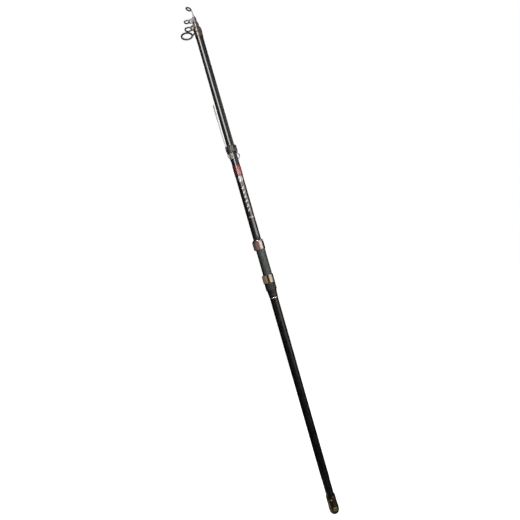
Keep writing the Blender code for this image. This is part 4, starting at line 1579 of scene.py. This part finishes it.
@dataclass
class StripperGuide:
    """The fold-down stripper guide: collar, pin, foot, frame, ring and keeper loop."""

    collar_start: float = 0.9805
    collar_height: float = 0.019
    collar_radius: float = 0.0145
    chamfer: float = 0.0015
    ear_reach: float = 0.0155
    ear_width: float = 0.0140
    ear_height: float = 0.011
    slot_width: float = 0.0080
    pivot_reach: float = 0.0129
    pivot_height: float = 0.9953
    pin_radius: float = 0.0010
    knuckle: float = 0.0018
    foot_height: float = 0.0170
    foot_wall: float = 0.0009
    pad_reach: float = 0.0150
    pad_end: float = 0.0050
    pad_width: float = 0.0110
    ring_reach: float = 0.100
    crank: float = 0.0013
    holder_outer: float = 0.0200
    holder_inner: float = 0.0188
    eye: float = 0.0158
    plate: float = 0.0020
    strip: float = 0.0012
    leg: float = 0.0026
    neck: float = 0.032
    wire: float = 0.0009
    loop_bulge: float = 0.0044
    loop_length: float = 0.0140

    def rod_across(self, name: str, radius: float, half: float, rounding: float = 0.0) -> Piece:
        """Make a round rod along Y through the pivot.

        Args:
            name: its name.
            radius: its radius.
            half: half its length.
            rounding: how far from its rims their rounding starts.

        Returns:
            The rod.
        """
        matrix = (Matrix.Translation((-self.pivot_reach, 0, self.pivot_height))
                  @ Matrix.Rotation(math.pi / 2, 4, "X"))
        return plug(name, radius, -half, half, 48, matrix, rounding)

    def collar(self) -> Piece:
        """Mould the collar with its ears, slot, pin hole and windows.

        Returns:
            The collar.
        """
        low, high = self.collar_start, self.collar_start + self.collar_height
        outer = [(self.collar_radius - 0.0005, low), (self.collar_radius, low + 0.0005),
                 (self.collar_radius, high - self.chamfer),
                 (self.collar_radius - self.chamfer, high)]
        collar = tube("stripper_collar_moulded", outer, OVER_BLANK, 0.0004)
        half = self.ear_width / 2
        combine(collar, [block("ears", (-self.ear_reach, -half, high - self.ear_height),
                               (-BUTT_RADIUS / 2, half, high - self.chamfer / 2), 0.0012, axis=1)],
                "UNION")
        half = self.slot_width / 2
        slot = block("slot", (-0.03, -half, self.pivot_height - self.knuckle - FIT),
                     (-BUTT_RADIUS / 2, half, high + 0.02), 0.0003)
        windows = [self.window(*ends) for ends in ((-120, -97), (-74, -46), (46, 74), (97, 120))]
        return combine(collar, [slot, plug("bore", OVER_BLANK, low - 0.01, high + 0.01),
                                self.rod_across("pin_hole", self.pin_radius + FIT, self.ear_width)]
                       + windows)

    def window(self, start: float, end: float) -> Piece:
        """Make the cutter of a window through the collar's wall.

        Args:
            start: where the window starts, in degrees from +X.
            end: where it ends.

        Returns:
            The cutter.
        """
        start, end = math.radians(start), math.radians(end)
        there = [start + (end - start) * share for share in shares(8)]
        return skin("window", [[polar(0.017, angle, height) for angle in there]
                               + [polar(0.0101, angle, height) for angle in reversed(there)]
                               for height in (self.collar_start + 0.0085,
                                              self.collar_start + 0.0155)], capped=True)

    def rib(self) -> Piece:
        """Mould the raised U-shaped rib on the collar's front.

        Returns:
            The rib.
        """
        path = []
        for share in shares(24):
            t = share * 2 - 1
            path.append(polar(self.collar_radius + 0.00005,
                              math.radians(-92) + 0.42 * signed_power(t, 0.55),
                              self.collar_start + 0.0045 + 0.0110 * abs(t) ** 2.2))
        return sweep("collar_rib", path, (0, -1, 0), lambda share: oval(0.0010, 0.0016))

    def foot(self) -> Piece:
        """Press the steel foot: a saddle on the blank with a raised pad.

        Returns:
            The foot.
        """
        top = self.collar_start - FIT
        low = top - self.foot_height
        wall = OVER_BLANK + self.foot_wall
        foot = tube("stripper_foot_pressed", [(wall, low), (wall, top)], OVER_BLANK, 0.0003)
        combine(foot, [self.pad(low + self.foot_wall, top - self.foot_wall)], "UNION")
        return combine(foot, [plug("bore", OVER_BLANK, low - 0.01, top + 0.01),
                              block("opening", (-0.0015, -0.03, low - 0.002),
                                    (0.03, 0.03, top + 0.002), 0.0003)])

    def pad(self, low: float, high: float) -> Piece:
        """Make the foot's raised wedge, which stands out furthest just below the collar.

        Args:
            low: its lower end.
            high: its upper end.

        Returns:
            The wedge.
        """
        half = self.pad_width / 2
        root = math.sqrt(OVER_BLANK ** 2 - half ** 2) - 0.001
        loops = []
        for share in shares(10):
            ease = 0.0007 * max(share * 10 - 9, 0.0)
            base = high - (high - low) * (1 - share) - self.pad_end * share + ease
            outline = fillet([(-half + ease, base), (half - ease, base), (half - ease, high - ease),
                              (-half + ease, high - ease)], 0.0009)
            x = -(root + (self.pad_reach - root) * share)
            loops.append([Vector((x, y, z)) for y, z in outline])
        return skin("pad", loops, capped=True)

    def rivets(self) -> list[Piece]:
        """Set the rivet heads on both wings of the foot.

        Returns:
            The two heads.
        """
        heads = []
        middle = self.collar_start - FIT - self.foot_height * 0.6
        width, height = 0.0014, 0.0008
        outline = [(0.0, 0.0)] + [(width * math.cos(t * math.pi / 12),
                                   height * math.sin(t * math.pi / 12)) for t in range(6)]
        outline.append((0.0, height))
        for side in (-1, 1):
            out = polar(1.0, math.radians(180 - side * 58), 0)
            place = out * (OVER_BLANK + self.foot_wall - 0.0002) + Vector((0, 0, middle))
            matrix = Matrix.Translation(place) @ out.to_track_quat("Z", "Y").to_matrix().to_4x4()
            heads.append(lathe(f"foot_rivet_{side + 2}", outline, closed=False, sides=32,
                               matrix=matrix))
        return heads

    def frame(self) -> Piece:
        """Stamp the folding frame: knuckle, cranked neck and a teardrop hoop.

        Returns:
            The frame.
        """
        half = self.slot_width / 2 - FIT
        pivot = Vector((-self.pivot_reach, 0, self.pivot_height))
        centre = pivot + Vector((-self.crank, 0, self.ring_reach))
        middle = self.holder_outer - self.leg / 4
        foot = Vector((0, half - self.leg / 2, self.neck - self.ring_reach))
        tangent = math.atan2(foot.y, -foot.z) + math.acos(middle / foot.length)
        hoop_angles = [tangent + (2 * math.pi - 2 * tangent) * share for share in shares(56)]
        ring = [Vector((0, middle * math.sin(angle), -middle * math.cos(angle)))
                for angle in hoop_angles]
        straight = [foot.lerp(ring[0], share) for share in shares(10)[:-1]]
        path = [centre + point for point in straight + ring + mirrored(straight)]

        def section(share: float) -> Outline:
            """Return the strip's section, broader along the legs."""
            near = min(abs(2 * share - 1) * 2.2, 1.0) ** 4
            return oval(self.plate, self.strip + (self.leg - self.strip) * near, 0.5)

        rises = levels(0.0, self.neck + self.leg, 0.0022)
        bend = [pivot + Vector((-self.crank * rise / rises[-1], 0, rise)) for rise in rises]
        frame_piece = self.rod_across("stripper_frame_stamped", self.knuckle, half, 0.0002)
        neck = sweep("neck", bend, (0, 1, 0),
                     lambda share: oval(2 * half - 0.0003, self.plate * 0.9, 0.3))
        combine(frame_piece, [neck, sweep("hoop", path, (1, 0, 0), section)], "UNION")
        return combine(frame_piece, [self.rod_across("knuckle_hole", self.pin_radius + FIT,
                                                     self.ear_width)])

    def loop_wire(self) -> Piece:
        """Bend the keeper loop from wire, with straight feet that lie on the blank.

        Returns:
            The loop.
        """
        clear = OVER_BLANK + self.wire
        foot = 3 * self.wire
        high = self.collar_start - FIT - foot
        low = high - self.loop_length
        path = [Vector((clear, 0, high + foot)), Vector((clear, 0, high + foot / 2))]
        path += [Vector((clear + self.loop_bulge * math.sin(math.pi * share) ** 0.85, 0,
                         high - self.loop_length * share)) for share in shares(28)]
        path += [Vector((clear, 0, low - foot / 2)), Vector((clear, 0, low - foot))]

        def section(share: float) -> Outline:
            """Return the wire's section, flattened where it is bent outwards."""
            return oval(2 * self.wire, self.wire * (
                2 + 1.5 * math.exp(-((share - 0.35) / 0.17) ** 2)))

        return sweep("keeper_loop_bent", path, (0, 1, 0), section)

    def build(self) -> None:
        """Make and dress the stripper guide."""
        hand_in(self.collar(), Body.BUTT, Slot.DARK_PLASTIC, Look.COLLAR_NYLON, "stripper_collar")
        hand_in(self.rib(), Body.BUTT, Slot.DARK_PLASTIC, Look.RIB_NYLON)
        hand_in(self.foot(), Body.BUTT, Slot.STEEL, Look.PRESSED_STEEL, "stripper_foot")
        for rivet in self.rivets():
            hand_in(rivet, Body.BUTT, Slot.STEEL, Look.PRESSED_STEEL)
        pin = self.rod_across("stripper_pin_headed", self.pin_radius, self.ear_width / 2 - 0.0004,
                              0.0003)
        hand_in(pin, Body.BUTT, Slot.STEEL, Look.SMOKED_STEEL, "stripper_pin")
        hand_in(self.frame(), Body.STRIPPER, Slot.STEEL, Look.PALE_STEEL, "stripper_frame")
        eye = Eye(self.pivot_reach + self.crank, self.pivot_height + self.ring_reach,
                  self.holder_outer, self.holder_inner, self.eye, lean=math.pi / 2)
        hand_in(eye.ring("stripper_ring_tumbled"), Body.STRIPPER, Slot.RING, Look.PALE_CERAMIC,
                "stripper_ring")
        hand_in(self.loop_wire(), Body.BUTT, Slot.BROWN, Look.DIPPED_WIRE, "keeper_loop")


@dataclass
class Studio:
    """The pale floor, the flags and lamps, and the photograph's camera."""

    floor_height: float = -0.25
    floor_radius: float = 9.0
    floor_glow: float = 0.92
    flag_inner: float = 0.04
    flag_radius: float = 2.7
    flag_top: float = 3.6
    fill: float = 0.10
    camera_place: tuple[float, float, float] = (-0.0079, -0.985, 0.691)
    camera_roll: float = math.radians(15.946)
    sensor: float = 36
    focal_pixels: float = 375
    picture_pixels: float = 520

    def world(self) -> None:
        """Light the room softly; camera, glossy and transmission rays see its white walls."""
        world = bpy.data.worlds.new("white_studio")
        bpy.context.scene.world = world
        world.use_nodes = True
        tree = world.node_tree
        tree.nodes.clear()
        strength = add_node(tree, "MapRange", {"Value": seen_directly(tree), "To Min": self.fill,
                                               "To Max": 1.0})
        background = add_node(tree, "Background", (linear("#FFFFFF"), strength))
        add_node(tree, "OutputWorld", {"Surface": background})

    def floor(self) -> None:
        """Lay a pale floor well below the rod, whose mount holds it there."""
        floor = lathe("studio_floor", [(0, 0.0), (self.floor_radius, 0.0)], closed=False, sides=64)
        floor.location = (0, 0, self.floor_height)
        material, tree = new_material("white_painted_floor")
        glow = add_node(tree, "Math", (seen_directly(tree), self.floor_glow), operation="MULTIPLY")
        emission = add_node(tree, "Emission", (linear("#FFFFFF"), glow))
        paint = add_node(tree, "BsdfDiffuse", (linear("#F2F2F2"),))
        both = add_node(tree, "AddShader", (emission, paint))
        add_node(tree, "OutputMaterial", {"Surface": both})
        floor.data.materials.append(material)

    def flags(self) -> None:
        """Stand dark cards round the rod and below it, which only glossy rays see.

        They are the dim room that the real rod mirrored: pale on the right, dark in the middle,
        rosy above and tan below on the left, and dark at both sides, for dark edges.
        """
        low = self.floor_height + 0.02
        flags = lathe("studio_flags", [(self.flag_inner, low), (self.flag_radius, low),
                                       (self.flag_radius, self.flag_top), (0.01, self.flag_top)],
                      closed=False, sides=64)
        flags.visible_camera = False
        flags.visible_diffuse = False
        flags.visible_shadow = False
        material, tree = new_material("painted_card_flags")
        place, turns, height = round_coordinates(tree)
        share = add_node(tree, "Math", (turns,), operation="FRACT")
        low_wall = colour_ramp(tree, share, {
            0.0: "#8A867E", 0.03: "#4A4744", 0.07: "#1C1B1A", 0.38: "#161410", 0.47: "#1A150F",
            0.52: "#4A4034", 0.56: "#7A6C5C", 0.615: "#988A76", 0.665: "#7A6C58", 0.705: "#38281A",
            0.75: "#26190E", 0.78: "#5A5044", 0.805: "#968B79", 0.83: "#CCC0AC", 0.86: "#E4D8C4",
            0.89: "#D6CCBC", 0.95: "#C4BCB0", 0.985: "#A8A298", 1.0: "#8A867E"})
        rosy_wall = colour_ramp(tree, share, {
            0.0: "#3A3835", 0.05: "#161513", 0.38: "#121210", 0.46: "#0E0E0B", 0.50: "#1A1714",
            0.535: "#3E3631", 0.58: "#74635D", 0.62: "#84706E", 0.67: "#7C6464", 0.735: "#765A5C",
            0.76: "#8C7678", 0.785: "#AC989A", 0.813: "#CCBABE", 0.843: "#E6D6DA",
            0.873: "#F8E8EC", 0.903: "#F5E6E9", 0.935: "#DED0D0", 0.968: "#B4A8A4",
            0.985: "#6A645C", 1.0: "#3A3835"})
        floor_card = colour_ramp(tree, share, {
            0.0: "#141413", 0.33: "#141413", 0.40: "#E0DACE", 0.53: "#E8E2D8", 0.60: "#221A12",
            0.76: "#1A1008", 0.83: "#8A8378", 0.91: "#8A8378", 0.96: "#141413", 1.0: "#141413"})
        front = colour_ramp(tree, share, {0.0: "#4A4A4A", 0.05: "#000000", 0.42: "#000000",
                                          0.52: "#FFFFFF", 0.93: "#FFFFFF", 1.0: "#4A4A4A"})
        rising = add_node(tree, "MapRange", (height, 1.0, 2.8, 0.02, 0.26))
        high_wall = add_node(tree, "MixRGB", (1.0, rising, front), blend_type="MULTIPLY")
        reach = add_node(tree, "VectorMath", (place,), operation="LENGTH").outputs["Value"]
        blend = partial(add_node, tree, "MapRange", interpolation_type="SMOOTHSTEP")
        walls = add_node(tree, "MixRGB", (blend((reach, 0.47, 0.53)), floor_card,
                                          linear("#161614")))
        for start, end, wall in ((-0.15, 0.35, low_wall), (0.60, 0.74, rosy_wall),
                                 (0.92, 1.04, high_wall)):
            walls = add_node(tree, "MixRGB", (blend((height, start, end)), walls, wall))
        emission = add_node(tree, "Emission", (walls, blend((height, -0.15, 0.45, 0.8, 1.15))))
        add_node(tree, "OutputMaterial", {"Surface": emission})
        flags.data.materials.append(material)

    def lamp(self, name: str, place: Sequence[float], size: tuple[float, float], radiance: float,
             colour: str, turn: float = 0.0, mirrored: bool = True) -> None:
        """Hang a rectangular soft lamp that faces the rod at its own height.

        Args:
            name: the lamp's name.
            place: where it hangs.
            size: its width and height.
            radiance: how bright its face is, where 1 is white.
            colour: its sRGB hex colour.
            turn: how far its upper end leans to the left, in degrees.
            mirrored: whether glossy pieces mirror it; if not, it lights matt ones instead.
        """
        data = bpy.data.lights.new(name, "AREA")
        data.shape = "RECTANGLE"
        data.size, data.size_y = size
        data.energy = radiance * math.pi * size[0] * size[1]
        data.color = linear(colour)[:3]
        lamp = add_object(name, data)
        ahead = Vector((-place[0], -place[1], 0)).to_track_quat("-Z", "Y").to_matrix().to_4x4()
        lamp.matrix_world = (Matrix.Translation(place) @ ahead
                             @ Matrix.Rotation(math.radians(turn), 4, "Z"))
        lamp.visible_camera = False
        lamp.visible_glossy = mirrored
        lamp.visible_diffuse = not mirrored

    def lamps(self) -> None:
        """Hang a slanting strip on the upper left and a wide window lamp on the lower right.

        Their mirror image is the long highlight on the blank, narrow above the stripper guide
        and wide below it; a side bank gives its right edge, and one soft key light, which nothing
        mirrors, shades the matt pieces. Two weaker lamps do the same for views from behind.
        """
        self.lamp("strip_lamp", (-0.46, -1.70, 2.12), (0.88, 1.98), 11.5, "#FFFBF7", turn=33)
        self.lamp("window_lamp", (1.18, -1.36, 1.14), (2.05, 0.54), 5.1, "#FFF8F6")
        self.lamp("low_lamp", (1.32, -1.22, 0.20), (1.1, 0.5), 2.1, "#FFF8F6")
        self.lamp("side_bank", (1.95, 0.05, 1.70), (0.7, 0.9), 1.2, "#FAF8F6")
        self.lamp("soft_key", (1.655, -1.29, 1.2), (1.0, 1.8), 6.9, "#FFFDFB", mirrored=False)
        self.lamp("rear_strip", (0.0, 2.2, 1.1), (0.7, 3.0), 4.5, "#FAFAFF")
        self.lamp("rear_key", (-0.6, 2.0, 1.2), (1.0, 1.8), 3.0, "#FAFAFF", mirrored=False)

    def camera(self) -> None:
        """Set the camera where the photograph was taken from, rolled by about 16 degrees."""
        data = bpy.data.cameras.new("photo_camera")
        data.sensor_width = self.sensor
        data.lens = self.focal_pixels / self.picture_pixels * self.sensor
        camera = add_object("photo_camera", data)
        right = (math.cos(self.camera_roll), 0, -math.sin(self.camera_roll))
        up = (math.sin(self.camera_roll), 0, math.cos(self.camera_roll))
        camera.matrix_world = (Matrix.Translation(self.camera_place)
                               @ Matrix((right, up, (0, -1, 0))).transposed().to_4x4())
        bpy.context.scene.camera = camera

    def build(self) -> None:
        """Make the studio."""
        bpy.context.scene.view_settings.view_transform = "Standard"
        self.world()
        self.floor()
        self.flags()
        self.lamps()
        self.camera()


BLANKS = (
    Blank("butt_blank_rolled", "butt_blank", Body.BUTT, Look.BUTT_BLANK,
          start=BLANK_START, knee=TAPER_START, throat=BUTT_TOP - 0.140, top=BUTT_TOP,
          outer=(BUTT_RADIUS, BUTT_RADIUS, MOUTH_RADIUS), bore=(0.0088, 0.0088, 0.0084),
          rounding=0.00015),
    Blank("section_2_rolled", "section_2_blank", Body.SECTION_2, Look.INNER_BLANK,
          start=SECTIONS_START, knee=SECTIONS_START + 0.140, throat=SECTION_2_TOP - 0.120,
          top=SECTION_2_TOP, outer=(0.0085, 0.0081, 0.0062), bore=(0.0072, 0.0058, 0.0055)),
    Blank("section_3_rolled", "section_3_blank", Body.SECTION_3, Look.INNER_BLANK,
          start=SECTIONS_START, knee=SECTIONS_START + 0.120, throat=SECTION_3_TOP - 0.100,
          top=SECTION_3_TOP, outer=(0.0055, 0.0052, 0.0037), bore=(0.0045, 0.0033, 0.00305)),
    Blank("tip_rolled", "tip_blank", Body.TIP, Look.TIP_BLANK,
          start=SECTIONS_START, knee=SECTIONS_START + 0.100, throat=TIP_END - 0.680,
          top=TIP_END, outer=(0.0030, 0.00275, 0.0013), bore=(0.0018, 0.00118, 0.0005)),
)

GRIP_SLEEVE = Ring("grip_sleeve_shrunk", "grip_sleeve", Slot.SLEEVE, Look.SLEEVE, start=0.092,
                   rounding=0.0001,
                   profile=[(0.01072, 0.0), (0.01093, 0.0012), (0.01095, 0.004),
                            (0.01095, 0.489), (0.01093, 0.4918), (0.01072, 0.493)])

SEAT_RINGS = (
    Ring("front_flange_rolled", "front_flange", Slot.STEEL, Look.STEEL,
         start=ReelSeat.start + ReelSeat.length + FIT, rounding=0.0006,
         profile=[(0.0148, 0.0), (0.0155, 0.0008), (0.0155, 0.0021), (0.0142, 0.0028),
                  (0.0124, 0.0045), (0.01225, 0.0048)]),
    Ring("rear_collar_moulded", "rear_collar", Slot.DARK_PLASTIC, Look.NYLON, start=0.5881,
         rounding=0.0004, profile=[(0.01135, 0.0), (0.01143, 0.0012), (0.0118, 0.0085),
                                   (0.01165, 0.0090), (0.01165, 0.0098), (0.0119, 0.0103),
                                   (0.01255, 0.0174), (0.01255, 0.0190)]),
    Ring("rear_trim_rolled", "rear_trim_ring", Slot.STEEL, Look.STEEL, start=0.5853,
         rounding=0.0005, profile=[(0.0113, 0.0), (0.01175, 0.0007), (0.01175, 0.0018),
                                   (0.0113, 0.0025)]),
)

GUIDES = (
    LineGuide(4, Body.BUTT, tube_radius=0.00977, top=BUTT_TOP, sleeve=0.012,
              eye=Eye(0.0309, BUTT_TOP - 0.0115, outer=0.0164, inner=0.0154, bore=0.0114),
              frame_look=Look.BLACK_STEEL, bridge=True),
    LineGuide(3, Body.SECTION_2, tube_radius=0.0063, top=SECTION_2_TOP, sleeve=0.015,
              eye=Eye(0.0226, SECTION_2_TOP - 0.0105, outer=0.0101, inner=0.0092, bore=0.0064),
              frame_look=Look.KHAKI_STEEL, holder_look=Look.KHAKI_STEEL),
    LineGuide(2, Body.SECTION_3, tube_radius=0.0038, top=SECTION_3_TOP, sleeve=0.016,
              eye=Eye(0.0211, SECTION_3_TOP - 0.0068, outer=0.0079, inner=0.0071, bore=0.0046)),
)


def main() -> None:
    """Build the rod around the frame."""
    logging.basicConfig(level=logging.INFO, format="%(name)s: %(message)s")
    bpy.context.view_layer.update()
    Studio().build()
    for assembly in (ButtEnd(), *BLANKS, GRIP_SLEEVE, ReelSeat(), *SEAT_RINGS, Windings(),
                     StripperGuide(), *GUIDES, TipTop()):
        assembly.build()


if __name__ == "__main__":
    main()
